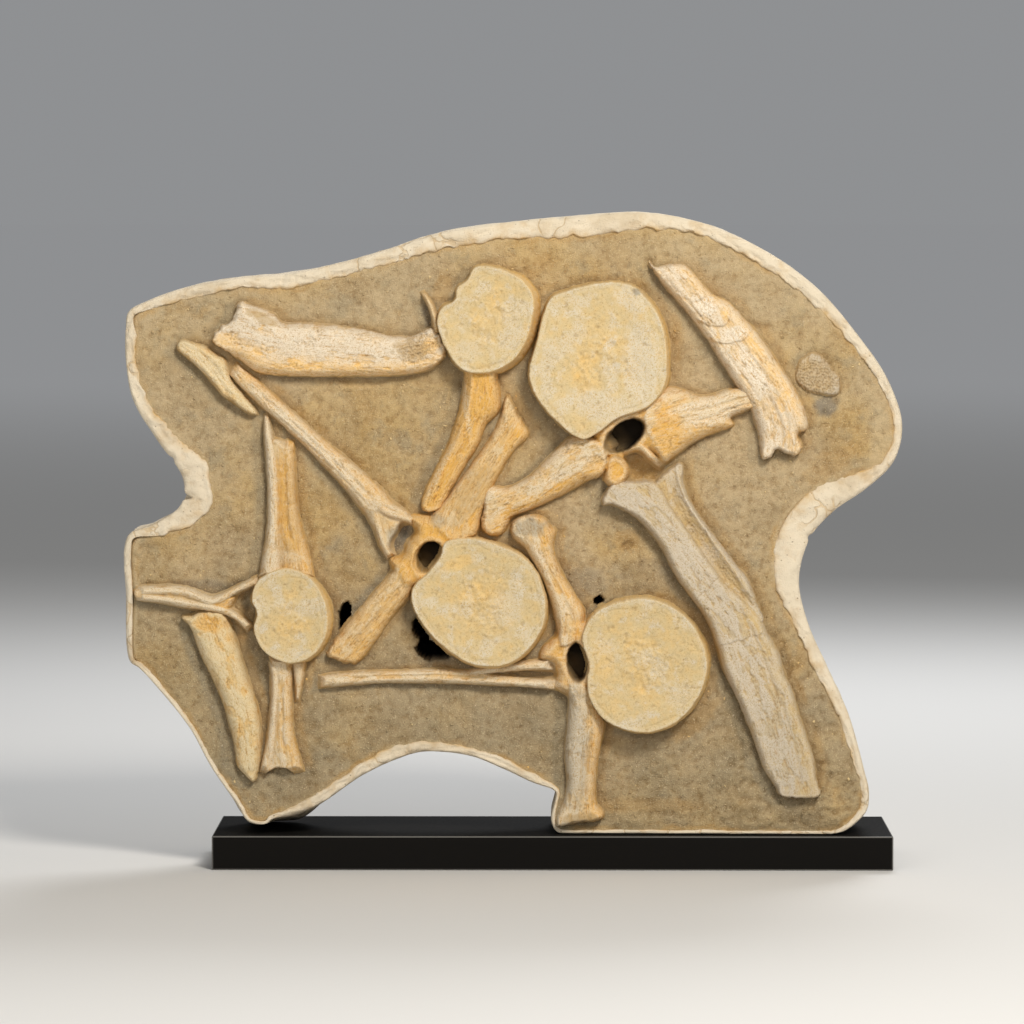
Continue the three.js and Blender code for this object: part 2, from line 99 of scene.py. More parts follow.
def smooth(low: float, high: float, value: Grid) -> Grid:
    """Smooth step from 0 at low to 1 at high."""
    t = np.clip((value - low) / (high - low), 0, 1)
    return t * t * (3 - 2 * t)


def soft_top(a: Grid, b: Grid, blend: float) -> Grid:
    """The higher of two reliefs, joined by a fillet of about the blend's width."""
    return 0.5 * (a + b + np.sqrt((a - b) ** 2 + blend * blend))


def spline(knots: np.ndarray, steps: int, closed: bool) -> np.ndarray:
    """Centripetal spline through knots.

    Args:
        knots: One row for each knot, the first two columns being its place.
        steps: Points made for each span.
        closed: Whether the last knot joins the first.

    Returns:
        Points on the curve, one row each.
    """
    p = np.asarray(knots, float)
    if closed:
        p = np.vstack([p[-1], p, p[:2]])
    else:
        p = np.vstack([2 * p[0] - p[1], p, 2 * p[-1] - p[-2]])
    rows = []
    for i in range(1, len(p) - 2):
        a, b, c, d = p[i - 1:i + 3]
        gaps = [max(np.linalg.norm(v[:2] - u[:2]) ** 0.5, 1e-6) for u, v in ((a, b), (b, c), (c, d))]
        t1, t2, t3 = np.cumsum(gaps)
        for t in t1 + (t2 - t1) * np.arange(steps) / steps:
            ab = a + (b - a) * t / t1
            bc = b + (c - b) * (t - t1) / (t2 - t1)
            cd = c + (d - c) * (t - t2) / (t3 - t2)
            abc = ab + (bc - ab) * t / t2
            bcd = bc + (cd - bc) * (t - t1) / (t3 - t1)
            rows.append(abc + (bcd - abc) * (t - t1) / (t2 - t1))
    if not closed:
        rows.append(p[-2])
    return np.array(rows)


class Noise:
    """Repeatable gradient and cell noise on a plane."""

    def __init__(self, seed: int) -> None:
        """Draws the lattice of one seed."""
        rng = np.random.default_rng(seed)
        self.order = rng.permutation(256)
        self.turn = rng.uniform(0, 2 * np.pi, 256)
        self.jitter = rng.uniform(0.1, 0.9, (256, 2))

    def _hash(self, i: Grid, j: Grid) -> Grid:
        """Lattice index of a cell."""
        return self.order[(self.order[i & 255] + j) & 255]

    def at(self, x: Grid, y: Grid) -> Grid:
        """Gradient noise, about -0.7 to 0.7, with features one unit across."""
        i = np.floor(x).astype(int)
        j = np.floor(y).astype(int)
        u = x - i
        v = y - j
        fade_u = u * u * u * (u * (6 * u - 15) + 10)
        fade_v = v * v * v * (v * (6 * v - 15) + 10)
        corner = {}
        for di in (0, 1):
            for dj in (0, 1):
                turn = self.turn[self._hash(i + di, j + dj)]
                corner[di, dj] = np.cos(turn) * (u - di) + np.sin(turn) * (v - dj)
        low = corner[0, 0] + fade_u * (corner[1, 0] - corner[0, 0])
        high = corner[0, 1] + fade_u * (corner[1, 1] - corner[0, 1])
        return low + fade_v * (high - low)

    def fractal(self, x: Grid, y: Grid, octaves: int = 4, gain: float = 0.5) -> Grid:
        """Sum of octaves of gradient noise, each twice as fine."""
        total = np.zeros_like(x)
        weight = 1.0
        for octave in range(octaves):
            total += weight * self.at(x * 2 ** octave + 17.3 * octave, y * 2 ** octave - 9.1 * octave)
            weight *= gain
        return total

    def cells(self, x: Grid, y: Grid) -> Grid:
        """Distance to the nearest of one loose point in each unit cell."""
        i = np.floor(x).astype(int)
        j = np.floor(y).astype(int)
        best = np.full(x.shape, 9.0)
        for di in (-1, 0, 1):
            for dj in (-1, 0, 1):
                spot = self.jitter[self._hash(i + di, j + dj)]
                best = np.minimum(best, np.hypot(i + di + spot[..., 0] - x, j + dj + spot[..., 1] - y))
        return best


def blur(field_mm: Grid, radius: int) -> Grid:
    """Mean over a square window, applied twice for a soft kernel.

    Args:
        field_mm: Values on a grid.
        radius: Half width of the window, in grid steps.

    Returns:
        The softened grid.
    """
    out = field_mm
    for _ in range(2):
        for axis in (0, 1):
            pad = [(0, 0), (0, 0)]
            pad[axis] = (radius + 1, radius)
            total = np.cumsum(np.pad(out, pad, mode="edge"), axis=axis)
            size = out.shape[axis]
            ahead = np.take(total, np.arange(size) + 2 * radius + 1, axis=axis)
            behind = np.take(total, np.arange(size), axis=axis)
            out = (ahead - behind) / (2 * radius + 1)
    return out


def edge_distance(x: Grid, h: Grid, loop: np.ndarray) -> Grid:
    """Distance to a closed line, positive inside it.

    Args:
        x: Places across.
        h: Heights.
        loop: Corners of the line, one row each.

    Returns:
        Signed distance in millimetres.
    """
    near = np.full(x.shape, np.inf)
    inside = np.zeros(x.shape, bool)
    for (ax, ah), (bx, bh) in zip(loop[:, :2], np.roll(loop[:, :2], -1, axis=0)):
        ex, eh = bx - ax, bh - ah
        t = np.clip(((x - ax) * ex + (h - ah) * eh) / max(ex * ex + eh * eh, 1e-9), 0, 1)
        near = np.minimum(near, (x - ax - t * ex) ** 2 + (h - ah - t * eh) ** 2)
        if ah != bh:
            crosses = (ah > h) != (bh > h)
            inside ^= crosses & (x < ax + (h - ah) * ex / eh)
    return np.where(inside, 1, -1) * np.sqrt(near)


@dataclass
class Along:
    """Where grid points lie beside a bone's line.

    Attributes:
        s: Millimetres along the line.
        d: Millimetres to the left of it.
        half: Half width there.
        relief: Height there.
        past: Millimetres beyond either end, negative between them.
        t: Share of the line's length.
    """

    s: Grid
    d: Grid
    half: Grid
    relief: Grid
    past: Grid
    t: Grid


class End(Enum):
    """How steeply a bone ends, as relief lost for each millimetre."""

    BROKEN = 4.0
    WORN = 1.6
    JOINED = 3.0


Stain = tuple[float, float, float]


@dataclass(frozen=True)
class Furrow:
    """Groove along a bone, or a ridge where depth is negative.

    Attributes:
        side: Where it starts and ends across the bone, -1 right edge to 1 left edge.
        span: Shares of the length where it starts and ends.
        width: Millimetres across.
        depth: Millimetres deep.
    """

    side: tuple[float, float]
    span: tuple[float, float]
    width: float
    depth: float


@dataclass(frozen=True)
class Flake:
    """Edge across a bone where a sheet of its skin has come away, or a hairline crack where drop is 0.

    Attributes:
        t: Share of the length.
        slant: Millimetres along the bone from its right edge to its left edge.
        drop: Millimetres lost beyond the edge.
        reach: Millimetres over which the loss heals.
        bow: Millimetres that the edge bows along the bone at its sides.
        sides: Where it runs across the bone, -1 right edge to 1 left edge.
    """

    t: float
    slant: float
    drop: float = 0.0
    reach: float = 12.0
    bow: float = 0.0
    sides: tuple[float, float] = (-1.2, 1.2)


@dataclass
class Shaft:
    """A length of bone on a smooth line.

    Attributes:
        stations: (x, height, half width, relief) along it.
        start: How it begins.
        finish: How it ends.
        edge: Knots of its edge on the bed, for a bone whose edge isn't given by the half widths.
        stain: Golden stain over all of it, and on its right and left sides.
        furrows: Grooves and ridges along it.
        flakes: Edges and cracks across it.
        jag: Millimetres of raggedness at the ends.
        boxy: Power of the cross section, higher for squarer shoulders.
        shoulder: Share of the half width over which a bone with its own edge rises.
        rough: Share of its skin that is fibrous, 0 to 1.
    """

    stations: list[tuple[float, float, float, float]]
    start: End = End.BROKEN
    finish: End = End.BROKEN
    edge: list[Place] = field(default_factory=list)
    stain: Stain = (0.2, 0.2, 0.2)
    furrows: list[Furrow] = field(default_factory=list)
    flakes: list[Flake] = field(default_factory=list)
    jag: float = 1.5
    boxy: float = 2.6
    shoulder: float = 0.8
    rough: float = 0.6

    def along(self, x: Grid, h: Grid) -> Along:
        """Finds each grid point's place beside the line.

        Args:
            x: Places across.
            h: Heights.

        Returns:
            The points' places along and across the bone.
        """
        line = spline(np.array(self.stations, float), 10, False)
        steps = np.hypot(*np.diff(line[:, :2], axis=0).T)
        marks = np.concatenate([[0], np.cumsum(steps)])
        length = marks[-1]
        best = np.full(x.shape, np.inf)
        out = [np.zeros(x.shape) for _ in range(4)]
        last = len(steps) - 1
        for k, (a, b) in enumerate(zip(line[:-1], line[1:])):
            tx, th = (b[:2] - a[:2]) / steps[k]
            run = (x - a[0]) * tx + (h - a[1]) * th
            held = np.clip(run, 0, steps[k])
            across = (h - a[1]) * tx - (x - a[0]) * th
            gap = across ** 2 + (run - held) ** 2
            closer = gap < best
            best = np.where(closer, gap, best)
            low = -1e9 if k == 0 else 0
            high = 1e9 if k == last else steps[k]
            free = np.clip(run, low, high)
            share = held / steps[k]
            values = (marks[k] + free, across, a[2] + share * (b[2] - a[2]), a[3] + share * (b[3] - a[3]))
            for store_in, value in zip(out, values):
                np.copyto(store_in, value, where=closer)
        s, d, half, relief = out
        return Along(s, d, half, relief, np.maximum(-s, s - length), np.clip(s / length, 0, 1))

    def relief(self, x: Grid, h: Grid, a: Along, noise: Noise) -> tuple[Grid, Grid, Grid]:
        """Carves the bone's relief.

        Args:
            x: Places across.
            h: Heights.
            a: The same places beside the bone.
            noise: The piece's own noise.

        Returns:
            Relief above the bed, falling below zero outside the bone, the marks of pits and fissures, and
            where its smooth skin is left.
        """
        if self.edge:
            inner = edge_distance(x, h, spline(np.array(self.edge, float), 5, True))
            at_end = smooth(-1.2, -0.3, a.past / a.half)
            inner = inner + self.jag * (0.2 + 0.5 * at_end) * noise.fractal(x / 5, h / 5, 3)
            side = 1 - inner / np.maximum(a.half * self.shoulder * (1 - 0.65 * at_end), 2.0)
            out = np.maximum(-inner, 0)
        else:
            uneven = 0.07 * noise.at(a.s / 11, a.d * 0 + 3.3) + 0.06 * noise.at(a.s / 3.5, a.d / 20)
            half = a.half * (1 + uneven)
            side = np.abs(a.d) / half
            out = half * np.maximum(side - 1, 0)
        body = a.relief * (1 - np.clip(side, 0, 1) ** self.boxy) ** 0.5 - 1.8 * out
        texture, marks, skin = self._texture(a, noise)
        body += texture * smooth(1.15, 0.85, side)
        if not self.edge:
            ragged = self.jag * (noise.at(a.d / 5, a.d * 0 + 7.7) + 0.7 * noise.at(a.d / 2.1, a.d * 0 + 1.7))
            for near, end in ((a.t < 0.5, self.start), (a.t >= 0.5, self.finish)):
                edge = a.past if end is End.JOINED else a.past - ragged
                body = np.where(near, np.minimum(body, -edge * end.value), body)
        return body, marks * smooth(1.0, 0.9, side), skin

    def _texture(self, a: Along, noise: Noise) -> tuple[Grid, Grid, Grid]:
        """Relief of the bone's surface, the marks of its pits and fissures, and where its skin is left."""
        worn = noise.fractal(a.d / 8 + 21, a.s / 19, 4, 0.62)
        skin = smooth(-0.06, 0.06, worn + 0.42 - 0.6 * self.rough)
        bare = 1 - 0.8 * skin
        crests = 0.5 - np.abs(noise.at(a.d / 3.1 + 9, a.s / 19)) * 2
        fibres = 0.5 * noise.at(a.d / 2.4, a.s / 15) + 0.45 * noise.at(a.d / 1.3 + 40, a.s / 6)
        fibres = fibres + 0.35 * crests
        out = 0.45 * skin + bare * fibres + 0.45 * noise.fractal(a.d / 9, a.s / 16, 3)
        fissure = smooth(0.08, 0.0, np.abs(noise.at(a.d / 2.8 + 70, a.s / 17)))
        fissure = fissure * smooth(0.0, 0.3, noise.at(a.d / 8 + 31, a.s / 11)) * bare
        pits = smooth(0.36, 0.14, noise.cells(a.d / 1.7, a.s / 2.9))
        pits = pits * smooth(-0.1, 0.25, noise.at(a.d / 7 + 3, a.s / 12 + 8)) * bare
        out -= 0.6 * fissure + 0.6 * pits
        for furrow in self.furrows:
            share = np.clip((a.t - furrow.span[0]) / (furrow.span[1] - furrow.span[0]), 0, 1)
            middle = (furrow.side[0] + share * (furrow.side[1] - furrow.side[0])) * a.half
            middle = middle + 0.6 * noise.at(a.s / 9, a.d * 0 + 11)
            fade = smooth(furrow.span[0] - 0.05, furrow.span[0] + 0.05, a.t)
            fade = fade * smooth(furrow.span[1] + 0.05, furrow.span[1] - 0.05, a.t)
            out -= furrow.depth * fade * np.exp(-((a.d - middle) / (0.5 * furrow.width)) ** 2)
        length = np.max(a.s - np.maximum(a.past, 0))
        hair = np.zeros(a.s.shape)
        for flake in self.flakes:
            v = a.d / a.half
            edge = flake.t * length + 0.5 * v * flake.slant
            edge = edge + 2.4 * noise.fractal(a.d / 6 + flake.t * 50, a.s * 0, 3)
            ahead = a.s - edge - flake.bow * v * v
            if flake.drop:
                within = smooth(flake.sides[0] - 0.15, flake.sides[0] + 0.1, v)
                within = within * smooth(flake.sides[1] + 0.15, flake.sides[1] - 0.1, v)
                loss = flake.drop * np.exp(-np.maximum(ahead, 0) / flake.reach)
                out -= loss * within * smooth(0, 0.9, ahead)
            else:
                hair = np.maximum(hair, 0.7 * np.exp(-(ahead / 0.35) ** 2))
        return out - 0.5 * hair, np.clip(0.7 * fissure + 0.6 * pits + hair, 0, 1), skin


@dataclass(frozen=True)
class Hollow:
    """Oval opening or dent.

    Attributes:
        x: Middle, across.
        h: Middle, height.
        long: Half length.
        short: Half width.
        turn: Degrees that the length is turned from the x axis.
        depth: Millimetres deep.
        lip: Millimetres that its rim is raised.
    """

    x: float
    h: float
    long: float
    short: float
    turn: float
    depth: float
    lip: float = 0.0

    def reach(self, x: Grid, h: Grid) -> Grid:
        """Distance from the middle, 1 on the oval's edge."""
        c, s = math.cos(math.radians(self.turn)), math.sin(math.radians(self.turn))
        u = (x - self.x) * c + (h - self.h) * s
        w = (h - self.h) * c - (x - self.x) * s
        return np.hypot(u / self.long, w / self.short)

    def gloom(self, x: Grid, h: Grid) -> Grid:
        """How dark it is inside: 1 at the upper right, less at the lower left, where the light falls."""
        return 1 - 0.55 * smooth(0.2, -1.1, (x - self.x + 0.7 * (h - self.h)) / self.long)


@dataclass(frozen=True)
class Mound:
    """Rounded swelling inside a closed edge.

    Attributes:
        edge: Knots of its edge on the bed.
        relief: Height of its top.
        shoulder: Millimetres from the edge to the full height.
        stain: Golden stain on it.
    """

    edge: list[Place]
    relief: float
    shoulder: float = 9.0
    stain: float = 0.5

    def relief_at(self, x: Grid, h: Grid, noise: Noise) -> Grid:
        """Relief of the swelling over the bed."""
        inner = edge_distance(x, h, spline(np.array(self.edge, float), 6, True))
        inner = inner + 0.9 * noise.fractal(x / 9, h / 9, 3)
        rise = 1 - np.clip(inner / self.shoulder, 0, 1)
        dome = self.relief * (1 - rise ** 2.2) ** 0.7
        dome = dome + 0.7 * noise.fractal(x / 6, h / 6, 3) * smooth(0, 4, inner)
        return np.where(inner > 0, dome, 1.8 * inner)


class Layer(Enum):
    """What a patch of colour or texture lays on a piece."""

    STAIN = "stain"
    SOIL = "soil"
    CHALK = "chalk"
    SLATE = "slate"
    SPONGE = "sponge"


STAIN, SOIL, CHALK, SLATE, SPONGE = Layer


@dataclass(frozen=True)
class Patch:
    """Oval patch of stain, soil, chalk or sponge on a bone."""

    layer: Layer
    x: float
    h: float
    long: float
    short: float
    turn: float = 0.0
    amount: float = 1.0

    def weight(self, x: Grid, h: Grid, noise: Noise) -> Grid:
        """Strength of the patch at each place, with a ragged edge."""
        reach = Hollow(self.x, self.h, self.long, self.short, self.turn, 0).reach(x, h)
        return self.amount * smooth(1.25, 0.6, reach + 0.35 * noise.fractal(x / 6, h / 6, 3))


def lay_patches(patches: list[Patch], x: Grid, h: Grid, noise: Noise) -> dict[Layer, Grid]:
    """Strength of each layer over a grid.

    Args:
        patches: The patches.
        x: Places across.
        h: Heights.
        noise: Noise of their ragged edges.

    Returns:
        One grid for each layer.
    """
    layers = {layer: np.zeros(x.shape) for layer in Layer}
    for patch in patches:
        layers[patch.layer] = np.maximum(layers[patch.layer], patch.weight(x, h, noise))
    return layers


class ReliefSheet:
    """Square grid over part of the show face."""

    def __init__(self, low: Place, high: Place, step: float) -> None:
        """Lays the grid between two corners."""
        self.step = step
        xs = np.arange(low[0], high[0] + step, step)
        hs = np.arange(low[1], high[1] + step, step)
        self.x, self.h = np.meshgrid(xs, hs, indexing="ij")

    def quads(self, keep: np.ndarray) -> np.ndarray:
        """Corner numbers of the grid's kept cells, facing the viewer.

        Args:
            keep: True for each grid point that is wanted.

        Returns:
            One row of four grid indices for each cell.
        """
        cell = keep[:-1, :-1] & keep[1:, :-1] & keep[1:, 1:] & keep[:-1, 1:]
        for _ in range(3):
            a, b, c, d = cell[:-1, :-1], cell[1:, 1:], cell[1:, :-1], cell[:-1, 1:]
            pinch = (a & b & ~c & ~d) | (c & d & ~a & ~b)
            cell[1:, :-1] |= pinch
            cell[:-1, 1:] |= pinch
            cell[:-1, :-1] |= pinch
            cell[1:, 1:] |= pinch
        i, j = np.nonzero(cell)
        rows = self.x.shape[1]
        first = i * rows + j
        return np.stack([first, first + rows, first + rows + 1, first + 1], axis=1)


def build_mesh(name: str, points: np.ndarray, quads: np.ndarray, triangles: np.ndarray) -> Mesh:
    """Makes a smooth shaded mesh from arrays.

    Args:
        name: Name of the mesh.
        points: Corners in metres, one row each.
        quads: Four corner numbers for each quad.
        triangles: Three corner numbers for each triangle.

    Returns:
        The new mesh.
    """
    mesh = bpy.data.meshes.new(name)
    corners = np.concatenate([quads.ravel(), triangles.ravel()]).astype(np.int32)
    starts = np.concatenate([4 * np.arange(len(quads)), 4 * len(quads) + 3 * np.arange(len(triangles))])
    mesh.vertices.add(len(points))
    mesh.vertices.foreach_set("co", points.astype(np.float32).ravel())
    mesh.loops.add(len(corners))
    mesh.loops.foreach_set("vertex_index", corners)
    mesh.polygons.add(len(starts))
    mesh.polygons.foreach_set("loop_start", starts.astype(np.int32))
    mesh.update(calc_edges=True)
    mesh.validate()
    mesh.shade_smooth()
    return mesh


def store(mesh: Mesh, name: str, values: np.ndarray) -> None:
    """Keeps a value or a vector for each corner as a mesh attribute."""
    if values.ndim == 1:
        mesh.attributes.new(name, "FLOAT", "POINT").data.foreach_set("value", values.astype(np.float32))
    else:
        data = mesh.attributes.new(name, "FLOAT_VECTOR", "POINT").data
        data.foreach_set("vector", values.astype(np.float32).ravel())


def close_sheet(points: np.ndarray, quads: np.ndarray, back: np.ndarray) -> tuple[np.ndarray, ...]:
    """Closes an open relief with a skirt and a flat back.

    Args:
        points: Corners of the relief, in metres.
        quads: Its cells.
        back: The depth of the back behind each corner, in metres along Y.

    Returns:
        All corners, all quads, the triangles of the back, and the relief corner that each corner comes from.
    """
    pairs = np.concatenate([quads[:, [0, 1]], quads[:, [1, 2]], quads[:, [2, 3]], quads[:, [3, 0]]])
    count = len(points)
    forward = pairs[:, 0].astype(np.int64) * count + pairs[:, 1]
    reverse = pairs[:, 1].astype(np.int64) * count + pairs[:, 0]
    rim = pairs[~np.isin(forward, reverse)]
    edge = np.unique(rim)
    number = np.full(count, -1)
    number[edge] = np.arange(len(edge)) + count
    lower = points[edge].copy()
    lower[:, 1] = back[edge]
    skirt = np.stack([rim[:, 1], rim[:, 0], number[rim[:, 0]], number[rim[:, 1]]], axis=1)
    flat = [tuple(p) for p in lower[:, [0, 2]] / MM]
    lines = [tuple(e) for e in (number[rim] - count).tolist()]
    _, _, faces, origins, _, _ = delaunay_2d_cdt(flat, lines, [], 2, 1e-6)
    triangles = np.array([[origins[c][0] for c in face] for face in faces], int).reshape(-1, 3) + count
    corners = np.vstack([points, lower])
    xz = corners[:, [0, 2]]
    a, b, c = (xz[triangles[:, k]] for k in range(3))
    turn = (b[:, 0] - a[:, 0]) * (c[:, 1] - a[:, 1]) - (b[:, 1] - a[:, 1]) * (c[:, 0] - a[:, 0])
    triangles = np.where((turn > 0)[:, None], triangles[:, [0, 2, 1]], triangles)
    return corners, np.vstack([quads, skirt]), triangles, np.concatenate([np.arange(count), edge])


def relief_object(name: str, sheet: ReliefSheet, relief: Grid, layers: dict[str, Grid], floor: float,
                  root: float) -> Object:
    """Makes a closed piece from a relief on a grid.

    Args:
        name: Name of the piece.
        sheet: The grid.
        relief: Millimetres towards the viewer from the bed's swells.
        layers: Values kept as attributes, each on the grid or with three values a point.
        floor: Relief under which the piece stops.
        root: Millimetres behind the bed's face where its flat back lies.

    Returns:
        The piece.
    """
    depth = FACE - bed_swell(sheet.x, sheet.h) - relief
    cells = sheet.quads(relief > floor)
    used, numbers = np.unique(cells, return_inverse=True)
    points = np.stack([sheet.x.ravel()[used], depth.ravel()[used], FEET + sheet.h.ravel()[used]], axis=1) * MM
    back = np.full(len(points), (FACE + root) * MM)
    points, quads, triangles, source = close_sheet(points, numbers.reshape(-1, 4), back)
    mesh = build_mesh(name, points, quads, triangles)
    for key, values in layers.items():
        flat = values.reshape(-1, 3)[used] if values.ndim == 3 else values.ravel()[used]
        store(mesh, key, flat[source])
    return set_down(mesh)


def set_down(mesh: Mesh) -> Object:
    """Puts a mesh in the scene as an object of the same name."""
    piece = bpy.data.objects.new(mesh.name, mesh)
    bpy.context.scene.collection.objects.link(piece)
    return piece


def hand_over(piece: Object, slot: str, *nodes: str) -> Object:
    """Sets a piece on the slab's body and hides the nodes of the frame that it stands for.

    Args:
        piece: The piece.
        slot: Its material slot in the record, which is not used.
        nodes: Nodes of the frame that it stands for, if any.

    Returns:
        The same piece.
    """
    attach(piece, BODY)
    if nodes:
        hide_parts(*nodes)
    return piece


def hollows_and_crests(relief: Grid, step: float) -> tuple[Grid, Grid]:
    """How far each place lies in a hollow or on a crest of the relief.

    Args:
        relief: Millimetres on a grid.
        step: Millimetres between grid points.

    Returns:
        Hollow and crest, each from 0 to 1.
    """
    held = np.maximum(relief, -1.0)
    fine = blur(held, max(1, round(1.0 / step))) - held
    broad = blur(held, max(2, round(3.0 / step))) - held
    rise = 1.4 * fine + 0.45 * broad
    return np.clip(rise, 0, 1), np.clip(-rise, 0, 1)


BONE_STEP = 0.55
BONE_FLOOR = -4.0
BONE_BACK = 9.0
MARGIN = 9.0


class Finish(Enum):
    """Finishes of the bones."""

    END_FACE = "end_face_bone"
    CREAM = "cream_bone"
    GOLD = "gold_bone"
    WHITE_RIB = "white_rib_bone"
    GREY_RIB = "grey_rib_bone"
    STRAW_RIB = "straw_rib_bone"


@dataclass
class Bone:
    """A bone or group of grown-together parts in relief.

    Attributes:
        name: Name of the piece.
        nodes: Nodes of the frame that it stands for.
        slot: Material slot in the record.
        finish: Its finish.
        seed: Seed of its noise.
        shafts: Lengths of bone.
        mounds: Swellings.
        hollows: Openings and dents.
        patches: Patches of colour and texture.
        blend: Millimetres of fillet where its parts join.
    """

    name: str
    nodes: list[str]
    slot: str
    finish: Finish
    seed: int
    shafts: list[Shaft] = field(default_factory=list)
    mounds: list[Mound] = field(default_factory=list)
    hollows: list[Hollow] = field(default_factory=list)
    patches: list[Patch] = field(default_factory=list)
    blend: float = 2.5
    sheet: ReliefSheet | None = None
    relief: Grid | None = None

    def corners(self) -> tuple[Place, Place]:
        """Lowest and highest corner of the bone's grid."""
        spots = [(x, h, half) for shaft in self.shafts for x, h, half, _ in shaft.stations]
        spots += [(x, h, 0.0) for shape in (*self.mounds, *self.shafts) for x, h in shape.edge]
        low = tuple(min(s[k] - s[2] for s in spots) - MARGIN for k in (0, 1))
        high = tuple(max(s[k] + s[2] for s in spots) + MARGIN for k in (0, 1))
        return low, high

    def build(self) -> Object:
        """Carves the bone.

        Returns:
            The finished piece, without its finish.
        """
        noise = Noise(self.seed)
        self.sheet = ReliefSheet(*self.corners(), BONE_STEP)
        x, h = self.sheet.x, self.sheet.h
        relief, values, layers = self.carve(x, h, noise)
        sponge = layers[SPONGE]
        warp = 1.2 * noise.fractal(x / 4, h / 4, 2)
        holes = smooth(0.5, 0.15, noise.cells((x + warp) / 1.5, (h - warp) / 1.7))
        relief -= sponge * (0.3 + 0.9 * holes + 0.5 * noise.fractal(x / 3, h / 3, 2))
        # deep: painted shade inside the canals, near black, lighter towards the lower left where the light
        # falls
        deep = np.zeros(x.shape)
        for hollow in self.hollows:
            reach = hollow.reach(x, h) + 0.07 * noise.fractal(x / 5, h / 5, 2)
            relief += hollow.lip * np.exp(-((reach - 1.2) / 0.2) ** 2)
            depth = hollow.depth * (hollow.gloom(x, h) if hollow.depth > 15 else 1.0)
            relief -= depth * smooth(1.04, 0.74, reach)
            if hollow.depth > 15:
                deep = np.maximum(deep, smooth(1.03, 0.88, reach) * hollow.gloom(x, h))
        self.relief = relief
        low, crest = hollows_and_crests(relief, BONE_STEP)
        marks = np.maximum(values["marks"], 0.5 * sponge * holes)
        values |= {
            "stain": np.clip(np.maximum(values["stain"], layers[STAIN]), 0, 1),
            "soil": np.clip(np.maximum(0.75 * smooth(3.0, 0.3, relief), layers[SOIL]), 0, 1),
            "chalk": np.clip(np.maximum(values["chalk"] * (1 - 0.7 * layers[STAIN]), layers[CHALK]), 0, 1),
            "slate": layers[SLATE],
            "hollow": np.clip(low * 0.8, 0, 1),
            "marks": marks,
            "crest": crest,
            # Painted shade of the canals
            "deep": deep,
        }
        piece = relief_object(self.name, self.sheet, relief, values, BONE_FLOOR, BONE_BACK)
        return hand_over(piece, self.slot, *self.nodes)

    def carve(self, x: Grid, h: Grid, noise: Noise) -> tuple[Grid, dict[str, Grid], dict[Layer, Grid]]:
        """Carves the bone's body before its openings.

        Args:
            x: Places across.
            h: Heights.
            noise: The piece's own noise.

        Returns:
            The relief, the values to keep as attributes, and the strength of each layer.
        """
        relief = np.full(x.shape, -30.0)
        top = np.full(x.shape, -30.0)
        grain = np.stack([x, h, 0 * x], axis=-1)
        stain = np.full(x.shape, 0.35)
        marks = np.zeros(x.shape)
        chalk = np.zeros(x.shape)
        for shaft in self.shafts:
            along = shaft.along(x, h)
            own, own_marks, skin = shaft.relief(x, h, along, noise)
            leads = own > top
            top = np.where(leads, own, top)
            relief = soft_top(relief, own, self.blend)
            grain[leads] = np.stack([along.d, along.s, 0 * x], axis=-1)[leads]
            v = along.d / np.maximum(along.half, 0.5)
            over, right, left = shaft.stain
            own_stain = over + right * smooth(0.1, -0.95, v) + left * smooth(-0.1, 0.95, v)
            stain = np.where(leads, own_stain + 0.12 - 0.25 * skin, stain)
            marks = np.where(leads, own_marks, marks)
            chalk = np.where(leads, 0.7 * skin * (1.05 - 0.9 * np.clip(own_stain, 0, 1)), chalk)
        for mound in self.mounds:
            own = mound.relief_at(x, h, noise)
            leads = own > top
            top = np.where(leads, own, top)
            relief = soft_top(relief, own, self.blend + 1.5)
            stain = np.where(leads, mound.stain, stain)
            marks, chalk = np.where(leads, 0.0, marks), np.where(leads, 0.0, chalk)
        relief += 0.3 * noise.fractal(x / 4, h / 4, 3)
        stain = stain + 0.5 * noise.fractal(x / 12, h / 12, 4)
        values = {"stain": stain, "marks": marks, "chalk": chalk, "grain": grain * MM}
        return relief, values, lay_patches(self.patches, x, h, noise)


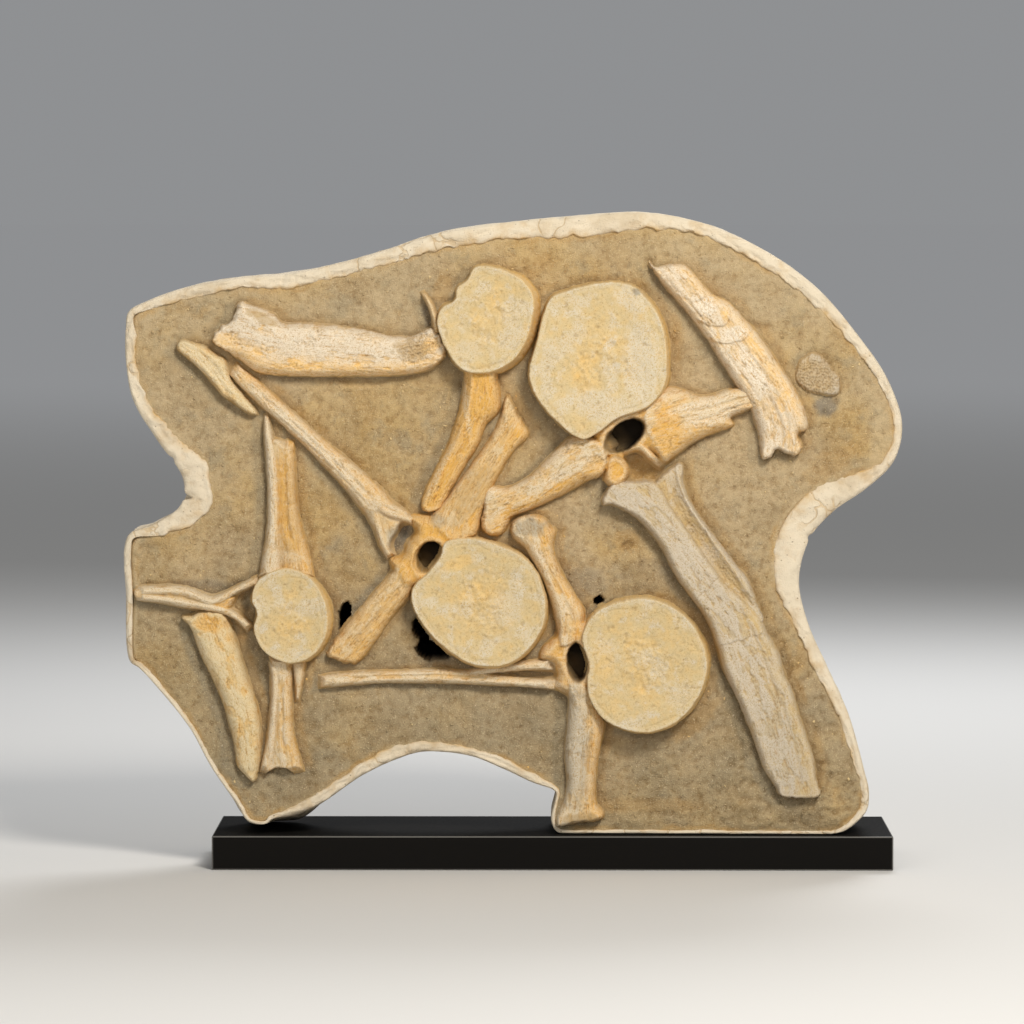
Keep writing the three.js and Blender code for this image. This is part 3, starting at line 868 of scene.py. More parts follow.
@dataclass
class Centrum(Bone):
    """A vertebral body: wall, thin rim and dished end face.

    Attributes:
        edge: Knots of its edge on the bed.
        height: Relief of its rim.
        lean: Millimetres that the face leans over, as (x, height).
        dish: Millimetres that the face is dished.
        side_stain: Golden stain on its open side.
    """

    edge: list[Place] = field(default_factory=list)
    height: float = 20.0
    lean: Place = (-3.0, 1.0)
    dish: float = 2.5
    side_stain: float = 0.8

    def corners(self) -> tuple[Place, Place]:
        """Lowest and highest corner of the centrum's grid."""
        spots = np.array(self.edge, float)
        low, high = spots.min(axis=0) - MARGIN, spots.max(axis=0) + MARGIN
        return (low[0], low[1]), (high[0], high[1])

    def carve(self, x: Grid, h: Grid, noise: Noise) -> tuple[Grid, dict[str, Grid], dict[Layer, Grid]]:
        """Carves the vertebral body before its dents.

        Args:
            x: Places across.
            h: Heights.
            noise: The piece's own noise.

        Returns:
            The relief, the values to keep as attributes, and the strength of each layer.
        """
        loop = spline(np.array(self.edge, float), 8, True)
        inner = edge_distance(x, h, loop)
        inner = inner + 0.45 * noise.fractal(x / 9, h / 9, 3) + 0.3 * noise.at(x / 2.3, h / 2.3)
        middle = loop.mean(axis=0)
        spoke = np.hypot(x - middle[0], h - middle[1]) + 1e-6
        out_x, out_h = (x - middle[0]) / spoke, (h - middle[1]) / spoke
        open_side = np.maximum(-(out_x * self.lean[0] + out_h * self.lean[1]), 0)
        wall = 0.8 + 1.6 * open_side
        rise = np.clip(inner / wall, 0, 1)
        relief = np.where(inner > 0, self.height * (0.6 * np.sqrt(rise) + 0.4 * rise), 1.8 * inner)
        face = inner - wall
        depth = np.clip(face / max(inner.max() - 3.0, 10), 0, 1)
        on_face = smooth(-0.4, 0.6, face)
        relief -= self.dish * smooth(0.0, 0.8, depth)
        relief += 0.35 * np.exp(-((face - 0.9) / 1.1) ** 2)
        core = smooth(0.42, 0.85, depth + 0.3 * noise.fractal(x / 15, h / 15, 3))
        u, w = 0.8 * x + 0.6 * h, 0.8 * h - 0.6 * x
        knobs = 1.6 * noise.fractal(u / 9, w / 9, 4) + 0.5 * noise.fractal(u / 3.3, w / 3.3, 2)
        waves = 0.9 * noise.fractal(u / 19, w / 17, 4) + 0.2 * noise.fractal(u / 2.3, w / 2.9, 2)
        relief += core * (0.3 + knobs) + on_face * waves
        scars = smooth(0.34, 0.6, noise.fractal(x / 6 + 30, h / 6, 3))
        crust = smooth(0.05, 0.0, np.abs(noise.fractal(x / 13 + 80, h / 13, 4)))
        crust = crust * smooth(-0.1, 0.25, noise.fractal(x / 20 + 9, h / 20, 2))
        border = np.exp(-((face - 4.2 - 2.0 * noise.fractal(x / 12, h / 12, 3)) / 0.6) ** 2)
        border = border * smooth(-0.2, 0.2, noise.fractal(x / 14 + 40, h / 14, 2))
        scars = np.maximum(scars, 0.7 * np.maximum(crust, border)) * on_face
        relief -= 0.45 * scars
        around = np.arctan2(out_h, out_x) * float(spoke[inner > 0].mean())
        relief += 0.6 * noise.at(around / 2.2, inner / 14) * smooth(1, 0.3, rise) * smooth(-2, 0, inner)
        layers = lay_patches(self.patches, x, h, noise)
        cloud = noise.fractal(u / 20, w / 20, 4)
        freckle = noise.fractal(u / 5 + 17, w / 5, 3)
        stain = 0.08 + 0.28 * core * (0.6 + cloud) + 0.3 * np.maximum(cloud, 0) + 0.25 * freckle
        side = 0.6 + self.side_stain * smooth(0.2, 1.5, open_side)
        stain = np.maximum(stain * on_face, side * (1 - on_face))
        white = smooth(0.05, 0.4, -cloud) * 0.7 + smooth(0.2, 0.5, noise.fractal(x / 9 + 50, h / 9, 4)) * 0.6
        chalk = 0.4 * np.exp(-((face - 0.9) / 0.9) ** 2) + white * on_face
        grain = np.stack([x, 4.5 * h, 0 * x], axis=-1) * MM
        values = {"stain": stain, "marks": 0.4 * scars, "chalk": chalk, "grain": grain}
        return relief, values, layers


Color = tuple[float, float, float]


def rgba(color: Color) -> tuple[float, float, float, float]:
    """Colour with full cover."""
    return (*color, 1.0)


class Tree:
    """Short hand for building a node tree."""

    def __init__(self, tree: NodeTree) -> None:
        """Wraps a tree."""
        self.tree = tree

    def add(self, kind: str, **inputs: object) -> Node:
        """Adds a node and sets or links its named inputs.

        Args:
            kind: Type name of the node.
            inputs: Sockets by name with spaces as underscores, or by number as _0, _1 and so on. A socket
                value links it, anything else sets it. Names that aren't inputs are the node's own settings.

        Returns:
            The new node.
        """
        node = self.tree.nodes.new(kind)
        late = []
        for key, value in inputs.items():
            if hasattr(node, key) and not key.startswith("_"):
                setattr(node, key, value)
            else:
                late.append((key, value))
        for key, value in late:
            socket = node.inputs[int(key[1:])] if key.startswith("_") else node.inputs[key.replace("_", " ")]
            if isinstance(value, NodeSocket):
                self.tree.links.new(value, socket)
            else:
                socket.default_value = rgba(value) if socket.type == "RGBA" else value
        return node

    def math(self, operation: str, a: object, b: object = 0.0, clamp: bool = False) -> NodeSocket:
        """Result of one sum on two values."""
        node = self.add("ShaderNodeMath", operation=operation, use_clamp=clamp, _0=a, _1=b)
        return node.outputs[0]

    def mix(self, share: object, a: object, b: object) -> NodeSocket:
        """Colour between a and b."""
        node = self.add("ShaderNodeMix", data_type="RGBA", _0=share, _6=a, _7=b)
        return node.outputs[2]

    def tint(self, share: object, a: object, b: object) -> NodeSocket:
        """Colour a multiplied by b, as far as share says."""
        node = self.add("ShaderNodeMix", data_type="RGBA", blend_type="MULTIPLY", _0=share, _6=a, _7=b)
        return node.outputs[2]

    def span(self, value: object, low: float, high: float, out_low: float = 0.0,
             out_high: float = 1.0) -> NodeSocket:
        """Value mapped smoothly from one range to another."""
        node = self.add("ShaderNodeMapRange", interpolation_type="SMOOTHSTEP", _0=value, _1=low, _2=high,
                        _3=out_low, _4=out_high)
        return node.outputs[0]

    def noise(self, vector: object, scale: float, detail: float = 3.0,
              roughness: float = 0.55) -> NodeSocket:
        """Value of fractal noise."""
        node = self.add("ShaderNodeTexNoise", Vector=vector, Scale=scale, Detail=detail, Roughness=roughness)
        return node.outputs[0]

    def stretched(self, vector: object, across: float, along: float, start: Place = (0.0, 0.0)) -> NodeSocket:
        """Vector scaled across and along the grain of a bone."""
        scale = (across, along, 1.0)
        return self.add("ShaderNodeMapping", Vector=vector, Location=(*start, 0.0), Scale=scale).outputs[0]

    def attribute(self, name: str, output: str = "Fac") -> NodeSocket:
        """Value of a mesh attribute."""
        return self.add("ShaderNodeAttribute", attribute_name=name).outputs[output]

    def place(self) -> NodeSocket:
        """Where a point lies on its piece, in metres."""
        return self.add("ShaderNodeTexCoord").outputs["Object"]

    def mottle(self, effects: "Effects", place: NodeSocket, size: float) -> dict[str, NodeSocket]:
        """Broad, middle and fine clouds at a size."""
        node = self.add("ShaderNodeGroup", node_tree=effects.mottle, Place=place, Size=size)
        return {socket.name: socket for socket in node.outputs}


def new_group(name: str, inputs: dict[str, str], outputs: dict[str, str]) -> tuple[NodeTree, Tree]:
    """Makes a shader node group with named sockets.

    Args:
        name: Name of the group.
        inputs: Socket types by name.
        outputs: Socket types by name.

    Returns:
        The group and a builder for it.
    """
    group = bpy.data.node_groups.new(name, "ShaderNodeTree")
    for in_out, sockets in (("INPUT", inputs), ("OUTPUT", outputs)):
        for socket, kind in sockets.items():
            group.interface.new_socket(socket, in_out=in_out, socket_type=kind)
    return group, Tree(group)


FLOAT, VECTOR = "NodeSocketFloat", "NodeSocketVector"


def grain_group() -> NodeTree:
    """Group that draws the fibres and small pits of bone along its grain.

    Returns:
        Group with inputs Grain and Place, and outputs Fibre, Streak, Pit and Height.
    """
    group, t = new_group("bone_grain", {"Grain": VECTOR, "Place": VECTOR},
                         {"Fibre": FLOAT, "Streak": FLOAT, "Pit": FLOAT, "Height": FLOAT})
    source = t.add("NodeGroupInput")
    lie = source.outputs["Grain"]
    fine = t.noise(t.stretched(lie, 950.0, 190.0), 1.0, 4.0, 0.65)
    strand = t.noise(t.stretched(lie, 400.0, 85.0), 1.0, 4.0, 0.65)
    fibre = t.math("ADD", t.math("MULTIPLY", fine, 0.5), t.math("MULTIPLY", strand, 0.5))
    streak = t.noise(t.stretched(lie, 700.0, 170.0, (7.3, 2.1)), 1.0, 4.0, 0.7)
    pit = t.span(t.noise(t.stretched(lie, 620.0, 170.0), 1.0, 2.0, 0.5), 0.31, 0.24)
    speck = t.noise(source.outputs["Place"], 1500.0, 2.0, 0.6)
    height = t.math("ADD", fibre, t.math("MULTIPLY", speck, 0.5))
    height = t.math("SUBTRACT", height, t.math("MULTIPLY", pit, 0.6))
    t.add("NodeGroupOutput", Fibre=fibre, Streak=streak, Pit=pit, Height=height)
    return group


def mottle_group() -> NodeTree:
    """Group that draws cloudy variation at three sizes.

    Returns:
        Group with inputs Place and Size, and outputs Broad, Middle and Fine.
    """
    group, t = new_group("mottle", {"Place": VECTOR, "Size": FLOAT},
                         {"Broad": FLOAT, "Middle": FLOAT, "Fine": FLOAT})
    given = t.add("NodeGroupInput").outputs
    scaled = t.add("ShaderNodeVectorMath", operation="SCALE", _0=given["Place"], _3=given["Size"]).outputs[0]
    broad = t.noise(scaled, 1.0, 4.0, 0.6)
    middle = t.noise(scaled, 5.3, 4.0, 0.6)
    fine = t.noise(scaled, 31.0, 4.0, 0.65)
    t.add("NodeGroupOutput", Broad=broad, Middle=middle, Fine=fine)
    return group


@dataclass
class Effects:
    """Shader groups that several finishes share."""

    grain: NodeTree
    mottle: NodeTree


def start_material(name: str) -> tuple[Material, Tree, Node]:
    """Makes an empty node material.

    Args:
        name: Name of the material.

    Returns:
        The material, a builder for its tree, and its shader.
    """
    material = bpy.data.materials.new(name)
    material.use_nodes = True
    material.node_tree.nodes.clear()
    t = Tree(material.node_tree)
    shader = t.add("ShaderNodeBsdfPrincipled")
    t.add("ShaderNodeOutputMaterial", Surface=shader.outputs[0])
    return material, t, shader


def join(t: Tree, shader: Node, color: object, roughness: object, height: object, distance: float,
         strength: float) -> None:
    """Links colour, roughness and bump to a shader.

    Args:
        t: Builder of the material's tree.
        shader: The shader.
        color: Base colour.
        roughness: Roughness.
        height: Height of the bump.
        distance: Metres that a height of 1 stands for.
        strength: Strength of the bump.
    """
    links = t.tree.links
    links.new(color, shader.inputs["Base Color"])
    links.new(roughness, shader.inputs["Roughness"])
    bump = t.add("ShaderNodeBump", Strength=strength, Distance=distance, Height=height)
    links.new(bump.outputs[0], shader.inputs["Normal"])


@dataclass(frozen=True)
class BoneFinish:
    """Fossil bone: cream to golden, fibrous, with soil in its hollows.

    Attributes:
        name: Name of the material.
        cream: Colour of clean bone.
        gold: Colour of stained bone.
        chalk: Colour of worn, chalky bone.
        soil: Colour of the soil on it.
        deep: Colour of pits and fissures.
        slate: Colour of grey patches.
        fibre: Strength of the fibres.
        cloudy: Strength of the mottling.
    """

    name: str
    cream: Color = (0.66, 0.51, 0.30)
    gold: Color = (0.71, 0.40, 0.09)
    chalk: Color = (0.74, 0.65, 0.50)
    soil: Color = (0.44, 0.305, 0.145)
    deep: Color = (0.25, 0.155, 0.065)
    slate: Color = (0.36, 0.32, 0.245)
    fibre: float = 1.0
    cloudy: float = 1.2

    def make(self, effects: Effects) -> Material:
        """Builds the material.

        Args:
            effects: The shared shader groups.

        Returns:
            The material.
        """
        material, t, shader = start_material(self.name)
        place = t.place()
        grain = t.add("ShaderNodeGroup", node_tree=effects.grain, Place=place,
                      Grain=t.attribute("grain", "Vector"))
        mottle = t.mottle(effects, place, 34.0)
        cloud = t.math("SUBTRACT", mottle["Middle"], 0.5)
        value = {key: t.attribute(key)
                 for key in ("stain", "crest", "chalk", "soil", "slate", "hollow", "marks", "deep")}
        stain = t.math("ADD", value["stain"], t.math("MULTIPLY", cloud, self.cloudy), True)
        color = t.mix(stain, self.cream, self.gold)
        chalk = t.math("MAXIMUM", t.math("MULTIPLY", value["crest"], 0.45), value["chalk"])
        chalk = t.math("MULTIPLY", chalk, t.span(mottle["Fine"], 0.35, 0.58, 0.15, 1.0), True)
        wisp = t.math("MULTIPLY", t.span(grain.outputs["Streak"], 0.52, 0.66), 0.55 * self.fibre)
        color = t.mix(t.math("MAXIMUM", chalk, wisp), color, self.chalk)
        color = t.mix(t.math("MULTIPLY", value["slate"], 0.85), color, self.slate)
        dark_fibre = t.math("MULTIPLY", t.span(grain.outputs["Fibre"], 0.5, 0.34), 0.85 * self.fibre)
        color = t.tint(dark_fibre, color, (0.74, 0.56, 0.34))
        speck = t.math("MULTIPLY", t.span(mottle["Fine"], 0.48, 0.28), 0.85)
        color = t.tint(speck, color, (0.64, 0.53, 0.36))
        soil = t.math("ADD", value["soil"], t.math("MULTIPLY", cloud, 0.5), True)
        soil = t.math("MULTIPLY", soil, t.span(value["soil"], 0.0, 0.3))
        soil = t.math("MAXIMUM", soil, t.math("MULTIPLY", value["hollow"], 0.4))
        color = t.mix(soil, color, self.soil)
        pit = t.math("MAXIMUM", t.math("MULTIPLY", grain.outputs["Pit"], 0.5 * self.fibre),
                     t.math("MULTIPLY", value["marks"], 0.6))
        color = t.mix(pit, color, self.deep)
        # Painted shade: the insides of the canals are coloured near black
        color = t.mix(value["deep"], color, (0.03, 0.021, 0.013))
        rough = t.span(mottle["Fine"], 0.2, 0.8, 0.55, 0.8)
        join(t, shader, color, rough, grain.outputs["Height"], 0.0008, 0.4 + 0.35 * self.fibre)
        shader.inputs["Specular IOR Level"].default_value = 0.2
        return material


@dataclass(frozen=True)
class SandstoneFinish:
    """Sandstone of the bed: tan, with golden and grey patches, grit, and painted shade and light."""

    name: str = "sandstone"
    tan: Color = (0.535, 0.405, 0.235)
    golden: Color = (0.58, 0.405, 0.18)
    grey: Color = (0.335, 0.275, 0.175)
    slate: Color = (0.20, 0.185, 0.16)
    # Rust colour, also used for the painted glow of light beside the bones
    rust_and_painted_glow: Color = (0.52, 0.31, 0.10)
    pale: Color = (0.68, 0.555, 0.35)
    dark: Color = (0.17, 0.125, 0.08)
    # Near black: painted shade in the pits and canals
    pit: Color = (0.012, 0.009, 0.007)

    def make(self, effects: Effects) -> Material:
        """Builds the material.

        Args:
            effects: The shared shader groups.

        Returns:
            The material.
        """
        material, t, shader = start_material(self.name)
        place = t.place()
        broad = t.mottle(effects, place, 12.0)
        fine = t.mottle(effects, place, 32.0)
        value = {key: t.attribute(key) for key in ("shade", "slate", "stain", "chalk", "hollow", "pit")}
        color = t.mix(t.span(broad["Broad"], 0.4, 0.68), self.tan, self.golden)
        # Grey: patches at random, and the painted shade of the shade attribute
        grey = t.math("MULTIPLY", t.span(broad["Middle"], 0.5, 0.72), 0.6)
        grey = t.math("MAXIMUM", grey, value["shade"])
        color = t.mix(grey, color, self.grey)
        # Rust: stain patches, and the painted glow of light beside the bones
        rust_and_painted_glow = t.math("MAXIMUM", value["stain"], t.span(fine["Broad"], 0.6, 0.8, 0.0, 0.7))
        color = t.mix(t.math("MULTIPLY", rust_and_painted_glow, 0.75), color, self.rust_and_painted_glow)
        color = t.mix(t.math("MULTIPLY", value["slate"], 0.8), color, self.slate)
        color = t.tint(t.span(fine["Broad"], 0.58, 0.32), color, (0.86, 0.83, 0.78))
        color = t.tint(t.span(fine["Middle"], 0.52, 0.3), color, (0.82, 0.77, 0.69))
        # Painted shade: the bed's hollows are darkened
        color = t.tint(t.math("MULTIPLY", value["hollow"], 0.7), color, (0.62, 0.55, 0.46))
        color = t.mix(t.math("MULTIPLY", t.span(fine["Fine"], 0.55, 0.70), 0.75), color, self.pale)
        color = t.mix(t.math("MULTIPLY", t.span(fine["Fine"], 0.43, 0.27), 0.65), color, self.dark)
        # Pale: chalky patches, and the painted light towards the top from the chalk attribute
        color = t.mix(t.math("MULTIPLY", value["chalk"], 0.8), color, self.pale)
        # Painted shade: the pits and canals are coloured near black
        color = t.mix(value["pit"], color, self.pit)
        grit = t.noise(place, 1300.0, 3.0, 0.65)
        height = t.math("ADD", t.math("MULTIPLY", fine["Fine"], 1.2), t.math("MULTIPLY", grit, 0.6))
        height = t.math("ADD", height, t.math("MULTIPLY", fine["Middle"], 1.2))
        rough = t.span(fine["Middle"], 0.2, 0.8, 0.8, 0.98)
        join(t, shader, color, rough, height, 0.0014, 0.75)
        shader.inputs["Specular IOR Level"].default_value = 0.2
        return material


@dataclass(frozen=True)
class PlasterFinish:
    """Plaster of the jacket: off-white with tan stains, specks, and sand where it meets the stone."""

    name: str = "plaster"
    white: Color = (0.76, 0.66, 0.50)
    stain: Color = (0.60, 0.43, 0.23)
    sand: Color = (0.60, 0.39, 0.15)
    speck: Color = (0.20, 0.14, 0.08)

    def make(self, effects: Effects) -> Material:
        """Builds the material.

        Args:
            effects: The shared shader groups.

        Returns:
            The material.
        """
        material, t, shader = start_material(self.name)
        place = t.place()
        broad = t.mottle(effects, place, 14.0)
        fine = t.mottle(effects, place, 30.0)
        blotch = t.math("MULTIPLY", t.span(broad["Middle"], 0.5, 0.72), 0.55)
        color = t.mix(blotch, self.white, self.stain)
        color = t.tint(t.span(fine["Broad"], 0.55, 0.25), color, (0.84, 0.80, 0.74))
        sand = t.math("ADD", t.attribute("sand"),
                      t.math("MULTIPLY", t.math("SUBTRACT", fine["Middle"], 0.5), 1.2), True)
        sand = t.math("MULTIPLY", sand, t.span(t.attribute("sand"), 0.0, 0.25))
        color = t.mix(sand, color, self.sand)
        dots = t.add("ShaderNodeTexVoronoi", Vector=place, Scale=260.0, Randomness=1.0)
        speck = t.math("MULTIPLY", t.span(dots.outputs["Distance"], 0.2, 0.1),
                       t.span(broad["Fine"], 0.5, 0.6))
        color = t.mix(t.math("MULTIPLY", speck, 0.7), color, self.speck)
        wander = t.add("ShaderNodeTexNoise", Vector=place, Scale=80.0).outputs[1]
        wander = t.add("ShaderNodeVectorMath", operation="SCALE", _0=wander, _3=0.012).outputs[0]
        bent = t.add("ShaderNodeVectorMath", operation="ADD", _0=place, _1=wander).outputs[0]
        plates = t.add("ShaderNodeTexVoronoi", feature="DISTANCE_TO_EDGE", Scale=42.0, Vector=bent)
        crack = t.math("MULTIPLY", t.span(plates.outputs["Distance"], 0.03, 0.01),
                       t.span(broad["Broad"], 0.5, 0.58))
        color = t.mix(t.math("MULTIPLY", crack, 0.6), color, self.stain)
        weave = t.add("ShaderNodeTexWave", Vector=place, Scale=190.0, Distortion=3.0, Detail=2.0,
                      bands_direction="X")
        weft = t.add("ShaderNodeTexWave", Vector=place, Scale=190.0, Distortion=3.0, Detail=2.0,
                     bands_direction="Z")
        cloth = t.math("MULTIPLY", weave.outputs["Fac"], weft.outputs["Fac"])
        cloth = t.math("MULTIPLY", cloth, t.attribute("cloth"))
        height = t.math("ADD", t.math("MULTIPLY", fine["Fine"], 0.8), t.math("MULTIPLY", cloth, 0.35))
        height = t.math("SUBTRACT", height, t.math("MULTIPLY", crack, 0.5))
        rough = t.span(fine["Middle"], 0.2, 0.8, 0.75, 0.95)
        join(t, shader, color, rough, height, 0.0016, 0.7)
        shader.inputs["Specular IOR Level"].default_value = 0.25
        return material


@dataclass(frozen=True)
class BaseFinish:
    """Black base: satin, with a breath of dust on it, or for its edge, glossier and a lighter grey as a
    painted highlight.

    Attributes:
        name: Name of the material.
        black: Colour of clean base.
        dust: Colour of the dust.
        gloss: Strength of its shine.
    """

    name: str = "black_base"
    black: Color = (0.0085, 0.0078, 0.007)
    dust: Color = (0.010, 0.0095, 0.0085)
    gloss: float = 0.02

    def make(self, effects: Effects) -> Material:
        """Builds the material.

        Args:
            effects: The shared shader groups.

        Returns:
            The material.
        """
        material, t, shader = start_material(self.name)
        place = t.place()
        mottle = t.mottle(effects, place, 30.0)
        up = t.add("ShaderNodeSeparateXYZ", _0=t.add("ShaderNodeNewGeometry").outputs["Normal"]).outputs[2]
        lying = t.math("MULTIPLY", t.span(up, 0.6, 0.95), t.span(mottle["Middle"], 0.35, 0.75, 0.1, 0.6))
        color = t.mix(lying, self.black, self.dust)
        rough = t.span(mottle["Fine"], 0.3, 0.7, 0.6, 0.72)
        join(t, shader, color, rough, mottle["Fine"], 0.0001, 0.08)
        shader.inputs["Specular IOR Level"].default_value = self.gloss
        return material


def dress(piece: Object, material: Material) -> None:
    """Gives a piece its one material."""
    piece.data.materials.clear()
    piece.data.materials.append(material)


PITS = [
    Hollow(-146, 153, 11, 4.2, 80, 42),
    Hollow(-94, 145.5, 7.0, 4.6, 100, 42),
    Hollow(-90.5, 137, 6.0, 4.0, 110, 42),
    Hollow(-86.5, 129.5, 10.0, 6.6, 165, 42),
    Hollow(-77, 128, 6.4, 4.8, 160, 42),
    Hollow(32.5, 164.5, 3.4, 3.2, 0, 42),
]
CANALS = [
    Hollow(50.0, 280.4, 17.0, 9.8, 38, 26, 1.0),
    Hollow(-86.0, 195.5, 12.0, 9.4, 66, 24, 1.0),
    Hollow(17.2, 121.5, 14.5, 7.6, 95, 22, 0.6),
]

DENTS = [
    Hollow(-108.5, 210.5, 11, 8, 70, 4.5),
    Hollow(-215, 163, 7, 5, 80, 6.0),
    Hollow(63, 257, 13, 8, 5, 3.0),
    Hollow(52.5, 203.5, 4.5, 3.2, 20, 3.0),
    Hollow(-0.5, 113.5, 16, 3.5, 0, 2.5),
]

BED_PATCHES = [
    Patch(SLATE, 192, 301, 9, 7.5),
    Patch(SLATE, -86, 364, 5, 9, 20, 0.8),
    Patch(SLATE, -108, 211, 9, 12, -20, 1.0),
    Patch(SLATE, -72, 131, 22, 12, 20, 0.5),
    Patch(SLATE, -16, 150, 8, 20, 0, 0.6),
    Patch(SLATE, -248, 173, 30, 6, 0, 0.5),
    Patch(SLATE, 22, 178, 20, 12, 0, 0.4),
    Patch(SLATE, -146, 176, 26, 34, 0, 0.25),
    Patch(SLATE, 68, 182, 24, 12, 0, 0.35),
    Patch(SLATE, 60, 430, 12, 4, 15, 0.6),
    Patch(STAIN, -77, 384, 7, 13, -15, 0.5),
    Patch(STAIN, -6, 402, 9, 7, 0, 0.5),
    Patch(STAIN, -175, 388, 24, 3.5, 8, 0.6),
    Patch(STAIN, 85, 345, 7, 26, 0, 0.4),
    Patch(STAIN, 196, 262, 26, 10, 35, 0.45),
    Patch(STAIN, 52, 206, 10, 9, 0, 0.5),
    Patch(STAIN, 64, 257, 15, 11, 0, 1.0),
    Patch(STAIN, 172, 120, 5, 34, -20, 0.35),
    Patch(STAIN, 100, 80, 24, 8, 40, 0.5),
    Patch(STAIN, 70, 20, 40, 6, 0, 0.4),
    Patch(CHALK, 231, 284, 9, 26, -10, 0.35),
]


@dataclass
class SandstoneBed:
    """The bed of sandstone that the bones lie on.

    Attributes:
        step: Millimetres between grid points.
        tuck: Share of the plaster rim's width that the bed reaches under.
    """

    step: float = 1.4
    tuck: float = 0.6

    def build(self, bones: list[Bone]) -> Object:
        """Carves the bed around the bones.

        Args:
            bones: The bones, already carved.

        Returns:
            The finished piece, without its finish.
        """
        noise = Noise(901)
        edge = spline(np.array(JACKET_EDGE, float), 6, True)
        sheet = ReliefSheet((-302, -2), (248, 440), self.step)
        x, h = sheet.x, sheet.h
        inner = edge_distance(x, h, edge)
        rim = self._rim_width(x, h, edge)
        bone = self._bone_relief(x, h, bones)
        # Places beside a bone's upper right side, where painted light goes (sunny), and beside its lower left
        # side, where painted shadow goes (shady)
        sunny = smooth(-5, 5, self._bone_relief(x - 7, h - 3, bones))
        shady = smooth(-8, 4, self._bone_relief(x + 8, h + 2, bones))
        away = np.maximum(-bone / 1.8, 0)
        relief = 2.0 * noise.fractal(x / 34, h / 34, 4) + 1.2 * noise.fractal(x / 8, h / 8, 3)
        relief += 0.45 * noise.at(x / 2.6, h / 2.6) + 0.3 * np.abs(noise.at(x / 4 + 60, h / 4))
        scrape = noise.at((x + 0.6 * h) / 3.2, (h - 0.6 * x) / 19)
        relief += 0.45 * scrape * smooth(0.0, 0.35, noise.at(x / 44 + 8, h / 44))
        relief -= 2.0 * np.exp(-away / 3.5)
        relief += 1.0 * np.exp(-((away - 10) / 6) ** 2) * (0.4 + noise.fractal(x / 17 + 9, h / 17, 2))
        relief += 3.4 * smooth(10, 120, x - 0.5 * h) * np.abs(noise.fractal(x / 21 + 4, h / 17, 4))
        layers = lay_patches(BED_PATCHES, x, h, noise)
        for dent in DENTS:
            relief -= dent.depth * smooth(1.15, 0.5, dent.reach(x, h) + 0.12 * noise.fractal(x / 6, h / 6, 2))
        relief = np.where(away < 4, np.maximum(relief, -3.2), relief)
        border = smooth(6, 0, inner - rim)
        level = 1.0 * noise.fractal(x / 13, h / 13, 4) - 0.1 - 2.6 * smooth(-1.5, -4.5, inner - rim)
        relief = relief * (1 - border) + border * level
        low, _ = hollows_and_crests(relief, self.step)
        # dark: painted shade in the pits and canals, near black, lighter at the canals' lower left where the
        # light falls
        dark = np.zeros(x.shape)
        for hollow in PITS + CANALS:
            reach = hollow.reach(x, h) + 0.1 * noise.fractal(x / 6, h / 6, 3)
            gloom = hollow.gloom(x, h) if hollow in CANALS else 1.0
            relief -= hollow.depth * gloom * smooth(1.0, 0.82, reach)
            dark = np.maximum(dark, smooth(0.98, 0.9, reach) * gloom)
        covered = smooth(-0.6, 0.3, bone)
        ragged = inner - rim + 3.2 * noise.fractal(x / 10, h / 10, 3)
        values = {
            # shade: grey tone at random, with painted shade: a soft shadow round the bones, their shadow to
            # the lower left, and darker towards the bottom
            "shade": np.clip(0.35 * np.exp(-away / 6) + 0.4 * noise.fractal(x / 30, h / 30, 3) + 0.55 * shady
                             + 0.6 * smooth(250, 20, h), 0, 1),
            # chalk: pale by the plaster rim and in chalky patches, with painted light: paler towards the top
            "chalk": np.maximum(np.maximum(0.35 * smooth(0.8, -0.4, ragged), layers[CHALK]),
                                smooth(200, 390, h) * (0.15 + 0.3 * noise.fractal(x / 25 + 70, h / 25, 3))),
            "slate": layers[SLATE],
            # stain: stain patches and golden edges by the plaster, with painted light: a golden glow beside
            # the bones' lit upper right sides
            "stain": np.maximum(np.maximum(layers[STAIN], 0.8 * smooth(4.0, 0.8, ragged)
                                           * smooth(-0.15, 0.2, noise.fractal(x / 40 + 11, h / 40, 2))),
                                sunny * (0.35 + 0.6 * noise.fractal(x / 16 + 20, h / 16, 3))),
            # hollow: hollows of the bed, darkened by the finish as painted shade
            "hollow": low,
            # Painted shade of the pits and canals
            "pit": dark,
            "open": np.clip((1 - covered) * smooth(2, 6, inner - rim) * (1 - dark), 0, 1),
        }
        inside = np.where(inner > (1 - self.tuck) * rim, relief, -99.0)
        piece = relief_object("sandstone_bed_face", sheet, inside, values, -60.0, BED_DEPTH)
        return hand_over(piece, "sandstone", "sandstone_bed")

    @staticmethod
    def _rim_width(x: Grid, h: Grid, edge: np.ndarray) -> Grid:
        """Width of the plaster rim on the edge nearest to each place."""
        best = np.full(x.shape, np.inf)
        width = np.zeros(x.shape)
        for px, ph, rim in edge[::2]:
            gap = (x - px) ** 2 + (h - ph) ** 2
            closer = gap < best
            best = np.where(closer, gap, best)
            width = np.where(closer, rim, width)
        return blur(width, 4)

    @staticmethod
    def _bone_relief(x: Grid, h: Grid, bones: list[Bone]) -> Grid:
        """Highest bone over each place of the bed, well below zero away from all bones."""
        out = np.full(x.shape, -60.0)
        for bone in bones:
            low_x, low_h = bone.sheet.x[0, 0], bone.sheet.h[0, 0]
            i = np.round((x - low_x) / BONE_STEP).astype(int)
            j = np.round((h - low_h) / BONE_STEP).astype(int)
            on = (i >= 0) & (j >= 0) & (i < bone.relief.shape[0]) & (j < bone.relief.shape[1])
            out[on] = np.maximum(out[on], bone.relief[i[on], j[on]])
        return out


NICKS = [(-258.5, 237.5, 1.7, 5.0), (-268.0, 263.0, 2.4, 1.6), (181.0, 209.0, 2.0, 2.2),
         (5.0, 433.0, 2.2, 1.2)]
CRACK = (-188.0, 380.0)


